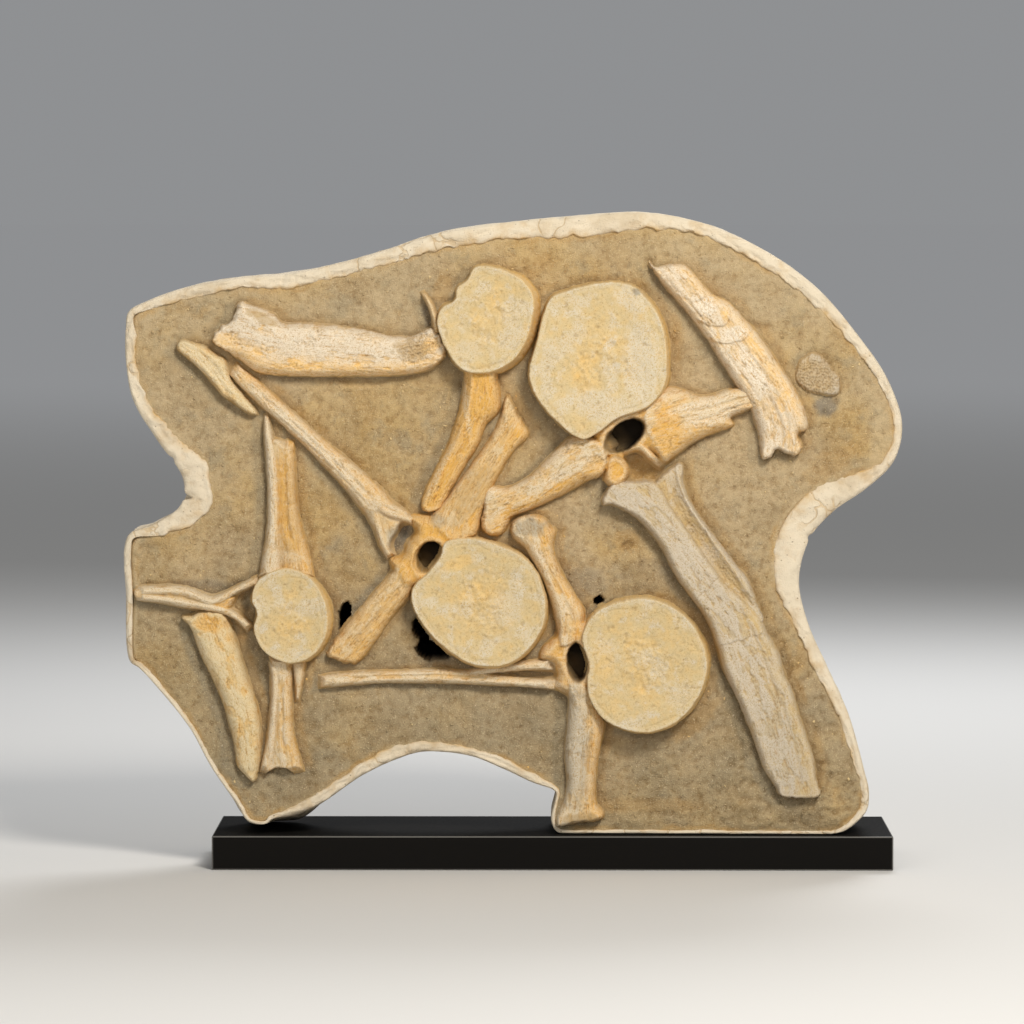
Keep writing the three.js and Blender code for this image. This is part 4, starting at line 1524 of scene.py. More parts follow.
@dataclass
class PlasterJacket:
    """The plaster tray round the bed, with its rim in front and its lumpy back.

    Attributes:
        along_steps: Points for each span of the edge.
        rounding: Millimetres of rounding at the back edge.
        back_step: Millimetres between points of the back.
    """

    along_steps: int = 20
    rounding: float = 20.0
    back_step: float = 3.4

    def build(self) -> Object:
        """Shapes the jacket.

        Returns:
            The finished piece, without its finish.
        """
        noise = Noise(77)
        edge = spline(np.array(JACKET_EDGE, float), self.along_steps, True)
        edge[:, 1] = np.maximum(edge[:, 1], 0)
        inward, room = self._inward(edge)
        gaps = np.hypot(*(np.roll(edge[:, :2], -1, axis=0) - edge[:, :2]).T)
        mark = np.concatenate([[0], np.cumsum(gaps)[:-1]])
        waver = 1.9 * noise.fractal(mark / 9, 0 * mark + 5, 4) + 0.6 * noise.at(mark / 2.3, 0 * mark + 9)
        waver = waver * np.clip(edge[:, 2] / 8, 0.3, 1.4)
        rim = edge[:, 2] * (1 + 0.18 * noise.at(mark / 23, 0 * mark)) + waver
        rings, sands, cloths = [], [], []
        dusty = np.clip(0.5 + 1.9 * noise.fractal(mark / 26, 0 * mark + 30, 3), 0, 1)
        for inset, depth, sand in self._profile():
            rings.append(self._ring(edge, inward, room, rim, mark, inset, depth, noise))
            sands.append(sand * dusty)
            cloths.append(np.full(len(edge), float(smooth(20, 60, np.array(depth)))))
        points, quads, triangles, extra = self._close(rings, noise)
        mesh = build_mesh("plaster_jacket_tray", points * MM, quads, triangles)
        store(mesh, "sand", np.concatenate(sands + [np.zeros(extra)]))
        store(mesh, "cloth", np.concatenate(cloths + [np.ones(extra)]))
        piece = set_down(mesh)
        return hand_over(piece, "plaster", "plaster_jacket")

    def _profile(self) -> list[tuple[tuple[float, float], float, float]]:
        """Section of the rim from the floor of the tray, over the lip and side, to the back edge.

        Returns:
            For each ring: (share of the rim's width, extra inset), depth behind the face, and sand on it.
        """
        rows = [((1.0, 6.0), BED_DEPTH + 2, 1.0), ((1.0, 0.0), 9.0, 1.0), ((1.0, 0.0), 3.0, 1.0)]
        lip = ((0.97, 0.2, 0.95), (0.92, -0.7, 0.6), (0.85, -1.0, 0.42), (0.76, -1.2, 0.28),
               (0.66, -1.4, 0.18), (0.55, -1.5, 0.1), (0.44, -1.6, 0.05), (0.33, -1.5, 0.0),
               (0.22, -1.3, 0.0), (0.12, -0.7, 0.0), (0.05, 0.3, 0.0), (0.0, 1.8, 0.0))
        rows += [((share, 0.0), depth, sand) for share, depth, sand in lip]
        side_steps = 16
        side_end = SLAB_DEPTH - self.rounding
        for k in range(1, side_steps + 1):
            rows.append(((0.0, 0.0), 1.8 + (side_end - 1.8) * k / side_steps, 0.0))
        back_steps = 8
        for k in range(1, back_steps + 1):
            turn = 0.5 * math.pi * k / back_steps
            inset, depth = self.rounding * (1 - math.cos(turn)), side_end + self.rounding * math.sin(turn)
            rows.append(((0.0, inset), depth, 0.0))
        return rows

    @staticmethod
    def _inward(edge: np.ndarray) -> tuple[np.ndarray, np.ndarray]:
        """Inward direction of each point of the edge, and the room to its middle."""
        run = np.roll(edge[:, :2], -1, axis=0) - np.roll(edge[:, :2], 1, axis=0)
        inward = np.stack([run[:, 1], -run[:, 0]], axis=1)
        inward /= np.linalg.norm(inward, axis=1)[:, None] + 1e-9
        away = edge[None, ::4, :2] - edge[:, None, :2]
        ahead = np.einsum("ijk,ik->ij", away, inward)
        size = np.einsum("ijk,ijk->ij", away, away)
        room = np.where(ahead > 1e-3, size / np.maximum(2 * ahead, 1e-6), np.inf).min(axis=1)
        window = 15
        spread = np.stack([np.roll(np.minimum(room, 36.0), k) for k in range(-window, window + 1)])
        narrow = spread.min(axis=0)
        return inward, np.stack([np.roll(narrow, k) for k in range(-window, window + 1)]).mean(axis=0)

    def _ring(self, edge: np.ndarray, inward: np.ndarray, room: np.ndarray, rim: np.ndarray, mark: np.ndarray,
              inset: tuple[float, float], depth: float, noise: Noise) -> np.ndarray:
        """One ring of the jacket at a depth, with the lumps of hand-laid plaster."""
        feet = smooth(2, 30, edge[:, 1])
        step = inset[0] * rim + inset[1] * (feet if depth > 10 else 1.0)
        row = np.ones(len(mark))
        lumps = 1.1 * noise.fractal(mark / 26, row * depth / 22, 3) * smooth(6, 16, np.array(depth))
        for x, h, width, bite in NICKS:
            near = np.exp(-((edge[:, 0] - x) ** 2 + (edge[:, 1] - h) ** 2) / width ** 2)
            step = step + bite * near * max(0.0, 1 - inset[0] * 1.5) * float(smooth(34, 8, np.array(depth)))
        step = np.minimum(step - lumps * feet, 0.6 * room)
        spot = edge[:, :2] + inward * step[:, None]
        for _ in range(int(6 * inset[1])):
            spot = 0.25 * np.roll(spot, 1, axis=0) + 0.5 * spot + 0.25 * np.roll(spot, -1, axis=0)
        share = max(depth, 0) / SLAB_DEPTH
        sink = smooth(0, 1, np.array(share))
        near = smooth(-150, -185, spot[:, 0])
        low = smooth(45, 11, spot[:, 1])
        height = np.maximum(spot[:, 1] * (1 - share * near * low), 0)
        front = 0.9 * noise.fractal(mark / 11, row * inset[0] * 3.0, 4)
        front = front + 0.45 * noise.at(mark / 3.1, row * inset[0] * 7.0)
        front = front - 0.9 * smooth(-0.03, 0.04, noise.fractal(mark / 17 + 40, row * inset[0] * 1.7, 3))
        along_crack = edge[:, 0] - CRACK[0] + 4 * inset[0]
        crack = 1.6 * np.exp(-(along_crack / 0.9) ** 2) * (edge[:, 1] > CRACK[1])
        wave = (front + crack) * (1.0 if -5 < depth < 6 else 0.0) * np.clip(rim / 9, 0.3, 1.2)
        behind = FACE - bed_swell(spot[:, 0], height) * (1 - sink) + depth + wave
        return np.stack([spot[:, 0], behind, FEET + height], axis=1)

    def _close(self, rings: list[np.ndarray], noise: Noise) -> tuple[np.ndarray, np.ndarray, np.ndarray, int]:
        """Joins the rings and fills the tray's floor and the back.

        Args:
            rings: Rings from the tray's floor to the back edge.
            noise: Noise of the back's lumps.

        Returns:
            All points in millimetres, the quads, the triangles, and how many points the back adds.
        """
        count = len(rings[0])
        points = np.vstack(rings)
        i = np.arange(count)
        j = (i + 1) % count
        quads = []
        for k in range(len(rings) - 1):
            a, b = k * count, (k + 1) * count
            quads.append(np.stack([a + i, a + j, b + j, b + i], axis=1))
        loop = [(int(p), int(q)) for p, q in zip(i, j)]
        floor = self._fill(rings[0], loop, np.zeros((0, 2)))
        last = (len(rings) - 1) * count
        xs = np.arange(-300, 250, self.back_step)
        hs = np.arange(0, 440, self.back_step)
        gx, gh = np.meshgrid(xs, hs, indexing="ij")
        gx = gx + self.back_step * 0.3 * noise.at(gx / 3, gh / 3)
        inner = edge_distance(gx, gh, rings[-1][::4, [0, 2]] - np.array([0, FEET]))
        within = inner > 0.7 * self.back_step
        spots = np.stack([gx, gh], axis=-1)[within]
        fill = self._fill(rings[-1], loop, spots)
        bx, bh = spots[:, 0], spots[:, 1]
        depth = FACE + SLAB_DEPTH + self._back_lumps(bx, bh, noise) * smooth(0, 14, inner[within])
        back = np.stack([bx, depth, FEET + bh], axis=1)
        extra = len(points)
        renumber = np.where(fill < count, fill + last, fill - count + extra)
        triangles = np.vstack([self._facing(floor, rings[0][:, [0, 2]], -1),
                               self._facing(renumber, np.vstack([points, back])[:, [0, 2]], 1)])
        return np.vstack([points, back]), np.vstack(quads), triangles, len(back)

    @staticmethod
    def _fill(ring: np.ndarray, loop: list[tuple[int, int]], spots: np.ndarray) -> np.ndarray:
        """Triangles inside a ring, through loose points in it."""
        flat = [(float(p[0]), float(p[2]) - FEET) for p in ring] + [(float(a), float(b)) for a, b in spots]
        _, _, faces, origins, _, _ = delaunay_2d_cdt(flat, loop, [], 1, 1e-7)
        return np.array([[origins[c][0] for c in face] for face in faces], int).reshape(-1, 3)

    @staticmethod
    def _facing(triangles: np.ndarray, flat: np.ndarray, sign: int) -> np.ndarray:
        """Triangles turned to face along Y, forwards for -1 and backwards for 1."""
        a, b, c = (flat[triangles[:, k]] for k in range(3))
        turn = (b[:, 0] - a[:, 0]) * (c[:, 1] - a[:, 1]) - (b[:, 1] - a[:, 1]) * (c[:, 0] - a[:, 0])
        return np.where((turn * sign > 0)[:, None], triangles[:, [0, 2, 1]], triangles)

    @staticmethod
    def _back_lumps(x: np.ndarray, h: np.ndarray, noise: Noise) -> np.ndarray:
        """Relief of the back: hand-smoothed swells and the edges of bandage strips."""
        lumps = 2.2 * noise.fractal(x / 60, h / 60, 3) + 0.7 * noise.fractal(x / 14, h / 14, 3)
        for k, turn in enumerate((12, 70, -35, 95, 40)):
            c, s = math.cos(math.radians(turn)), math.sin(math.radians(turn))
            across = -(x + 20) * s + (h - 210 + 45 * (k - 2)) * c
            half = 34 + 5 * k
            lumps += 0.8 * smooth(half + 1.2, half - 1.2, np.abs(across + 2.5 * noise.at(x / 18, h / 18 + k)))
        return lumps - 2.0


@dataclass
class DisplayBase:
    """The flat black base.

    Attributes:
        edge: Millimetres that its edges are broken.
    """

    edge: float = 0.9

    def build(self, effects: Effects) -> Object:
        """Makes and dresses the base, with a painted highlight along its broken edges: glossier, and a
        lighter grey.

        Args:
            effects: The shared shader groups.

        Returns:
            The finished piece.
        """
        low, high = np.array(BASE_LOW), np.array(BASE_HIGH)
        corners = [[(low, high)[i][0], (low, high)[j][1], (low, high)[k][2]]
                   for i in (0, 1) for j in (0, 1) for k in (0, 1)]
        quads = np.array([[0, 1, 3, 2], [4, 6, 7, 5], [0, 4, 5, 1], [2, 3, 7, 6], [0, 2, 6, 4], [1, 5, 7, 3]])
        mesh = build_mesh("base_slab", np.array(corners), quads, np.zeros((0, 3), int))
        piece = set_down(mesh)
        bevel = piece.modifiers.new("broken_edges", "BEVEL")
        bevel.width = self.edge * MM
        bevel.segments = 3
        normals = piece.modifiers.new("flat_faces", "WEIGHTED_NORMAL")
        normals.keep_sharp = True
        graph = bpy.context.evaluated_depsgraph_get()
        finished = bpy.data.meshes.new_from_object(piece.evaluated_get(graph), depsgraph=graph)
        piece.modifiers.clear()
        piece.data = finished
        dress(piece, BaseFinish().make(effects))
        # Painted highlight: the broken edges are a lighter grey than the faces, and glossier
        shine = BaseFinish("polished_edge", (0.10, 0.096, 0.086), (0.12, 0.115, 0.10), 0.5)
        finished.materials.append(shine.make(effects))
        for face in finished.polygons:
            face.material_index = 1 if max(abs(part) for part in face.normal) < 0.98 else 0
        return hand_over(piece, "base", "display_base")


@dataclass(frozen=True)
class Scatter:
    """Loose grains on the bed.

    Attributes:
        name: Name of the piece.
        density: Grains for each square metre of open bed.
        smallest: Radius of the smallest grain, in metres.
        largest: Radius of the largest grain, in metres.
        seed: Seed of their places.
    """

    name: str
    density: float
    smallest: float
    largest: float
    seed: int

    def build(self, bed: Object, material: Material) -> Object:
        """Scatters the grains over the bed.

        Args:
            bed: The bed, with its open attribute.
            material: Finish of the grains.

        Returns:
            The grains as one piece.
        """
        tree = self._tree()
        modifier = bed.modifiers.new("grains", "NODES")
        modifier.node_group = tree
        sizes = {"Density": self.density, "Smallest": self.smallest, "Largest": self.largest,
                 "Seed": self.seed, "Finish": material}
        for item in tree.interface.items_tree:
            if item.item_type == "SOCKET" and item.in_out == "INPUT" and item.name in sizes:
                modifier[item.identifier] = sizes[item.name]
        graph = bpy.context.evaluated_depsgraph_get()
        mesh = bpy.data.meshes.new_from_object(bed.evaluated_get(graph), depsgraph=graph)
        bed.modifiers.remove(modifier)
        mesh.name = self.name
        piece = set_down(mesh)
        return hand_over(piece, "sandstone")

    @staticmethod
    def _tree() -> NodeTree:
        """Node tree that sets rough grains on the open bed.

        Returns:
            The tree, with inputs Density, Smallest, Largest, Seed and Finish.
        """
        tree = bpy.data.node_groups.new("loose_grains", "GeometryNodeTree")
        sockets = (("Geometry", "NodeSocketGeometry"), ("Density", FLOAT), ("Smallest", FLOAT),
                   ("Largest", FLOAT), ("Seed", "NodeSocketInt"), ("Finish", "NodeSocketMaterial"))
        for name, kind in sockets:
            tree.interface.new_socket(name, in_out="INPUT", socket_type=kind)
        tree.interface.new_socket("Geometry", in_out="OUTPUT", socket_type="NodeSocketGeometry")
        t = Tree(tree)
        given = t.add("NodeGroupInput").outputs
        bare = t.add("GeometryNodeInputNamedAttribute", data_type="FLOAT", Name="open").outputs[0]
        density = t.math("MULTIPLY", bare, given["Density"])
        spots = t.add("GeometryNodeDistributePointsOnFaces", Mesh=given["Geometry"], Density=density,
                      Seed=given["Seed"])
        stone = t.add("GeometryNodeMeshIcoSphere", Radius=1.0, Subdivisions=1)
        turn = t.add("FunctionNodeRandomValue", data_type="FLOAT_VECTOR", _0=(0.0, 0.0, 0.0),
                     _1=(6.28, 6.28, 6.28), Seed=given["Seed"])
        size = t.add("FunctionNodeRandomValue", data_type="FLOAT", _2=given["Smallest"], _3=given["Largest"],
                     Seed=given["Seed"])
        shape = t.add("FunctionNodeRandomValue", data_type="FLOAT_VECTOR", _0=(0.6, 0.6, 0.45),
                      _1=(1.5, 1.1, 0.9), Seed=given["Seed"])
        scale = t.add("ShaderNodeVectorMath", operation="SCALE", _0=shape.outputs[0], _3=size.outputs[1])
        set_down = t.add("GeometryNodeInstanceOnPoints", Points=spots.outputs["Points"],
                         Instance=stone.outputs["Mesh"], Rotation=turn.outputs[0], Scale=scale.outputs[0])
        real = t.add("GeometryNodeRealizeInstances", Geometry=set_down.outputs[0])
        lumps = t.add("ShaderNodeTexNoise", Scale=900.0, Detail=1.0)
        centred = t.add("ShaderNodeVectorMath", operation="SUBTRACT", _0=lumps.outputs["Color"],
                        _1=(0.5, 0.5, 0.5))
        offset = t.add("ShaderNodeVectorMath", operation="SCALE", _0=centred.outputs[0], _3=given["Largest"])
        rough = t.add("GeometryNodeSetPosition", Geometry=real.outputs[0], Offset=offset.outputs[0])
        done = t.add("GeometryNodeSetMaterial", Geometry=rough.outputs[0], Material=given["Finish"])
        t.add("NodeGroupOutput", Geometry=done.outputs[0])
        return tree


def first_centrum() -> Centrum:
    """Body of the first vertebra, notched at its left."""
    return Centrum("first_centrum", ["vertebra_1_centrum"], "end_face", Finish.END_FACE, 11,
        patches=[Patch(STAIN, -42, 363, 14, 17, 0, 0.2),
            Patch(CHALK, -28, 350, 14, 9, 45, 0.7), Patch(CHALK, -60, 340, 12, 8, 0, 0.5)],
        edge=[(-33, 397), (-19, 391), (-10, 380), (-9, 365), (-14, 345), (-26, 329.5), (-44, 322.5),
            (-63, 326), (-73, 338), (-79, 351), (-81, 363), (-77, 371), (-69, 376), (-67, 384),
            (-60, 390), (-54, 399)], height=19, lean=(-2.6, 1.0), dish=2.2)


def second_centrum() -> Centrum:
    """Body of the second vertebra, the largest."""
    return Centrum("second_centrum", ["vertebra_2_centrum"], "end_face", Finish.END_FACE, 12,
        patches=[Patch(STAIN, 30, 345, 24, 15, 20, 0.22),
            Patch(CHALK, 62, 330, 14, 34, 0, 0.9), Patch(CHALK, 36, 301, 26, 12, -15, 0.8),
            Patch(CHALK, 55, 376, 14, 9, -35, 0.8), Patch(CHALK, 40, 345, 8, 3, 50, 0.9),
            Patch(SLATE, 58, 381.5, 3.5, 2.4, -25, 0.9)],
        edge=[(33, 388), (54, 387), (68, 376), (78, 360), (82, 337), (80, 314), (68, 300), (44, 291),
            (33, 283), (21, 278), (2, 291), (-13, 310), (-17, 326), (-12, 345), (-8, 362), (-2, 377),
            (11, 383)], height=22, lean=(-1.2, 0.3), dish=3.0)


def third_centrum() -> Centrum:
    """Body of the third vertebra."""
    return Centrum("third_centrum", ["vertebra_3_centrum"], "end_face", Finish.END_FACE, 13,
        patches=[Patch(STAIN, -58, 160, 18, 16, 0, 0.2),
            Patch(STAIN, -66, 192, 14, 5, 20, 0.5), Patch(CHALK, -32, 160, 12, 14, 0, 0.6),
            Patch(CHALK, -60, 160, 5, 7, 0, 0.7)],
        edge=[(-57, 210), (-75, 207), (-79, 197), (-87, 186), (-98, 175), (-98.5, 163), (-90, 147),
            (-75, 130), (-58, 119), (-40, 116.5), (-24, 121.5), (-8, 139), (-3, 158), (-8, 181),
            (-19, 196), (-37, 205)], height=20, lean=(-0.6, 1.4), dish=2.6)


def fourth_centrum() -> Centrum:
    """Body of the fourth vertebra, the smallest."""
    return Centrum("fourth_centrum", ["vertebra_4_centrum"], "end_face", Finish.END_FACE, 14,
        patches=[Patch(STAIN, -188, 152, 12, 10, 0, 0.2)],
        edge=[(-188, 188.5), (-206, 180), (-211, 167), (-207.5, 156), (-209.5, 145), (-202, 129),
            (-184, 120), (-165, 126), (-155, 144), (-156, 163), (-170, 183)], height=17, lean=(-1.2, 0.5),
        dish=1.6, side_stain=0.6)


def fifth_centrum() -> Centrum:
    """Body of the fifth vertebra."""
    return Centrum("fifth_centrum", ["vertebra_5_centrum"], "end_face", Finish.END_FACE, 15,
        patches=[Patch(STAIN, 62, 118, 18, 16, 0, 0.15), Patch(STAIN, 36, 124, 8, 16, 0, 0.4),
            Patch(CHALK, 90, 100, 12, 8, 40, 0.5)],
        edge=[(61, 168), (82, 163), (100, 148), (110, 127), (109, 108), (99, 88), (79, 73.5), (60, 71.5),
            (38, 80), (26, 95), (23.5, 109), (25, 120), (20, 140), (30, 158)], height=20,
        lean=(-1.3, 0.9), dish=2.5)


def vertebral_bodies() -> list[Centrum]:
    """The five vertebral bodies, not yet carved."""
    return [first_centrum(), second_centrum(), third_centrum(), fourth_centrum(), fifth_centrum()]


def first_process() -> Bone:
    """Process and blade of the first vertebra."""
    return Bone("first_process", ["vertebra_1_process", "vertebra_1_blade"], "gold_bone", Finish.GOLD, 21,
        [Shaft([(-50, 332, 12, 14), (-50, 312, 13.5, 14), (-52, 297, 13.5, 13), (-60, 280, 10.5, 12),
                (-73, 254, 8.5, 10), (-86, 228, 6, 9)],
                edge=[(-61.6, 320.6), (-63.3, 308), (-66.6, 294.7), (-73.3, 274.6), (-81.6, 257.9),
                    (-91.6, 234.6), (-89.7, 227.1), (-79.9, 228), (-71.6, 241.3), (-59.9, 261.3),
                    (-51.6, 274.6), (-46.6, 287.8), (-37.3, 297.8), (-36.6, 307.9), (-38.3, 320.6),
                    (-40, 333), (-60, 333)], stain=(1.0, 0.1, 0.4),
                furrows=[Furrow((-0.55, -0.5), (0.1, 0.95), 3.0, -1.2),
                    Furrow((0.1, 0.1), (0.3, 0.9), 4.0, 1.0)], rough=0.8),
            Shaft([(-91, 381, 1.2, 6), (-86.5, 374, 1.9, 9), (-82.5, 363, 2.0, 10), (-81, 350, 2.2, 10)],
                End.WORN, End.JOINED, jag=0.4, rough=0.2)],
        patches=[Patch(CHALK, -61, 305, 3, 24, 8, 0.9),
            Patch(CHALK, -78, 258, 2.5, 34, -27, 0.8), Patch(CHALK, -84, 368, 3, 14, 25, 0.8)])


def second_arch() -> Bone:
    """Arch and both processes of the second vertebra."""
    return Bone("second_arch", ["vertebra_2_arch", "vertebra_2_left_process", "vertebra_2_right_process"],
        "cream_bone", Finish.CREAM, 22,
        [Shaft([(31, 268, 15, 15), (12, 260, 14, 14), (-2, 249.5, 12, 12), (-23, 238, 11, 11),
                (-49, 227, 15, 10)], End.JOINED, End.BROKEN,
                [(12.5, 279.6), (-2.8, 265), (-15.8, 252.2), (-25.5, 246.5), (-33.5, 244.1),
                    (-44.8, 245.4), (-47.8, 242.5), (-48.8, 229.5), (-49.7, 216.6), (-44.8, 210.9),
                    (-35.2, 211.8), (-31.1, 218.3), (-28.7, 223.1), (-15.8, 228.7), (-2.8, 234.4),
                    (10.1, 240.8), (23, 248.1), (35.9, 254.5), (39, 267.2), (32, 277.8), (22.8, 280.6)],
                (0.2, 0.0, 0.75), rough=0.85),
            Shaft([(62, 283, 20, 16), (76, 287, 21, 16), (92, 292, 19, 15), (110, 296, 15, 13),
                (126, 302, 11, 11), (141, 306, 8, 9)],
                edge=[(66, 306), (81.7, 314.6), (106.6, 307.9), (123.3, 312.9), (132, 313.6), (142, 308),
                    (141, 301), (125, 293), (126.6, 288), (110, 281.3), (96.6, 274.6), (83.3, 264.6),
                    (78.3, 262.3), (70, 272), (62, 290)], stain=(0.12, 0.8, 0.1), shoulder=0.65,
                furrows=[Furrow((0.25, 0.3), (0.45, 0.95), 2.4, 1.4),
                    Furrow((-0.15, -0.2), (0.5, 0.95), 1.8, 1.1)], rough=0.9),
            Shaft([(49, 270, 2.6, 13), (60, 273.5, 3.0, 15), (70, 265.5, 3.0, 14), (77, 260, 2.8, 10)],
                End.JOINED, End.WORN, stain=(0.6, 0.2, 0.2), jag=0.3, rough=0.3)],
        [Mound([(28, 290), (30, 272), (34, 262), (40, 266), (54, 270), (68, 268), (77, 262), (86, 275),
                (88, 296), (70, 306)], 15, 8, 0.75),
            Mound([(36, 257), (38, 264.5), (44, 267), (50.5, 264), (53.5, 256), (50.5, 247.5),
                (43, 244.5), (36.5, 249)], 13, 4, 0.85)],
        [CANALS[0], Hollow(45.5, 257, 5.5, 4.6, 80, 0.7)],
        [Patch(STAIN, 80, 284, 12, 22, 0, 0.9), Patch(STAIN, 46, 256, 9, 11, 0, 1.0),
            Patch(CHALK, 105, 303, 26, 4, 14, 0.9), Patch(CHALK, 114, 296, 24, 8, 14, 0.85),
            Patch(CHALK, 10, 256, 24, 4, 30, 0.7), Patch(CHALK, 5, 268, 16, 3, 42, 0.7),
            Patch(CHALK, 68, 267, 14, 2.5, -45, 0.7)])


def third_arch() -> Bone:
    """Arch and both processes of the third vertebra."""
    return Bone("third_arch", ["vertebra_3_arch", "vertebra_3_upper_process", "vertebra_3_lower_process"],
        "gold_bone", Finish.GOLD, 23,
        [Shaft([(-70, 207, 16, 13), (-66, 222, 16, 13), (-58, 238, 12, 12), (-50, 251, 10, 11),
                (-39, 270, 9, 10), (-29, 287, 10, 9), (-25, 298, 8, 8)],
                edge=[(-31.4, 308), (-24.3, 294.7), (-16.6, 281.5), (-26.4, 270.7), (-34.9, 258.1),
                    (-42.6, 242.6), (-49.7, 225), (-53.9, 211), (-68.6, 204), (-82, 215.9),
                    (-86.2, 221.5), (-75, 235.6), (-63.7, 251), (-52.5, 266.5), (-42.6, 280.6),
                    (-36.3, 294.7)], stain=(0.25, 0.55, 0.0),
                furrows=[Furrow((0.25, 0.1), (0.15, 0.85), 3.0, 1.2),
                    Furrow((-0.3, -0.2), (0.2, 0.7), 2.2, 1.0)], rough=0.9),
            Shaft([(-100, 187, 11, 12), (-109, 172, 12, 12), (-124.5, 153, 12.5, 11), (-137, 138, 13, 10),
                (-149, 124, 12, 8)],
                edge=[(-104.4, 192.6), (-117.7, 179.2), (-137.7, 155.9), (-153, 136), (-158.5, 127),
                    (-147.7, 121.9), (-137.7, 121), (-124.3, 135.9), (-112.7, 152.6), (-101, 167.6),
                    (-97, 181)], stain=(0.15, 0.0, 0.6),
                furrows=[Furrow((0.1, 0.0), (0.1, 0.9), 2.6, 1.3)], jag=2.2, rough=0.9)],
        [Mound([(-62, 206), (-74, 219), (-88, 225), (-102, 223.5), (-96.5, 213.5), (-102, 204.6),
                (-107, 196), (-114, 194), (-111, 184), (-104, 174), (-88, 178)], 13, 7, 0.95)],
        [CANALS[1], Hollow(-90.5, 195.5, 12.0, 7.0, 66, 4.0)],
        [Patch(CHALK, -103, 213, 2.2, 13, 15, 0.7), Patch(SLATE, -80, 221, 8, 5, 0, 0.5),
            Patch(SOIL, -56, 240, 10, 26, -32, 0.4)])


def third_spine() -> Bone:
    """Spine of the third vertebra, which fans out where it meets the arch."""
    return Bone("third_spine", ["vertebra_3_spine"], "cream_bone", Finish.CREAM, 26,
        [Shaft([(-224, 327.5, 4.5, 7), (-212, 316, 6, 8), (-177, 284.5, 6, 9), (-142, 251.5, 8, 10),
                (-124, 233, 9.5, 10), (-117, 226, 8, 8)], End.WORN, End.WORN, stain=(0.15, 0.2, 0.3),
                furrows=[Furrow((0.05, 0.1), (0.12, 1.0), 2.4, 0.9),
                    Furrow((-0.5, -0.5), (0.3, 0.9), 1.6, 0.8)], jag=1.2, rough=0.7),
            Shaft([(-128, 237, 4, 10), (-115, 227, 3.2, 9.5), (-104, 223, 3, 9.5), (-96, 220, 3.4, 10)],
                End.JOINED, End.JOINED, stain=(0.25, 0.2, 0.2), jag=0.4, rough=0.4),
            Shaft([(-127, 232, 4, 9), (-122, 218, 2.6, 8), (-118.5, 204, 2.6, 8), (-113, 195, 3, 9)],
                End.JOINED, End.JOINED, stain=(0.15, 0.2, 0.2), jag=0.4, rough=0.4)],
        [Mound([(-141, 244), (-122, 236), (-101, 225.5), (-107.7, 216), (-112.7, 206), (-115, 197.6),
                (-121, 207), (-131, 226)], 7.5, 2.5, 0.15)],
        patches=[Patch(SLATE, -110, 210, 6, 9, -20, 0.8),
            Patch(CHALK, -116, 228, 14, 5, -35, 0.6),
            Patch(CHALK, -168, 276, 62, 4.5, -43, 0.8)])


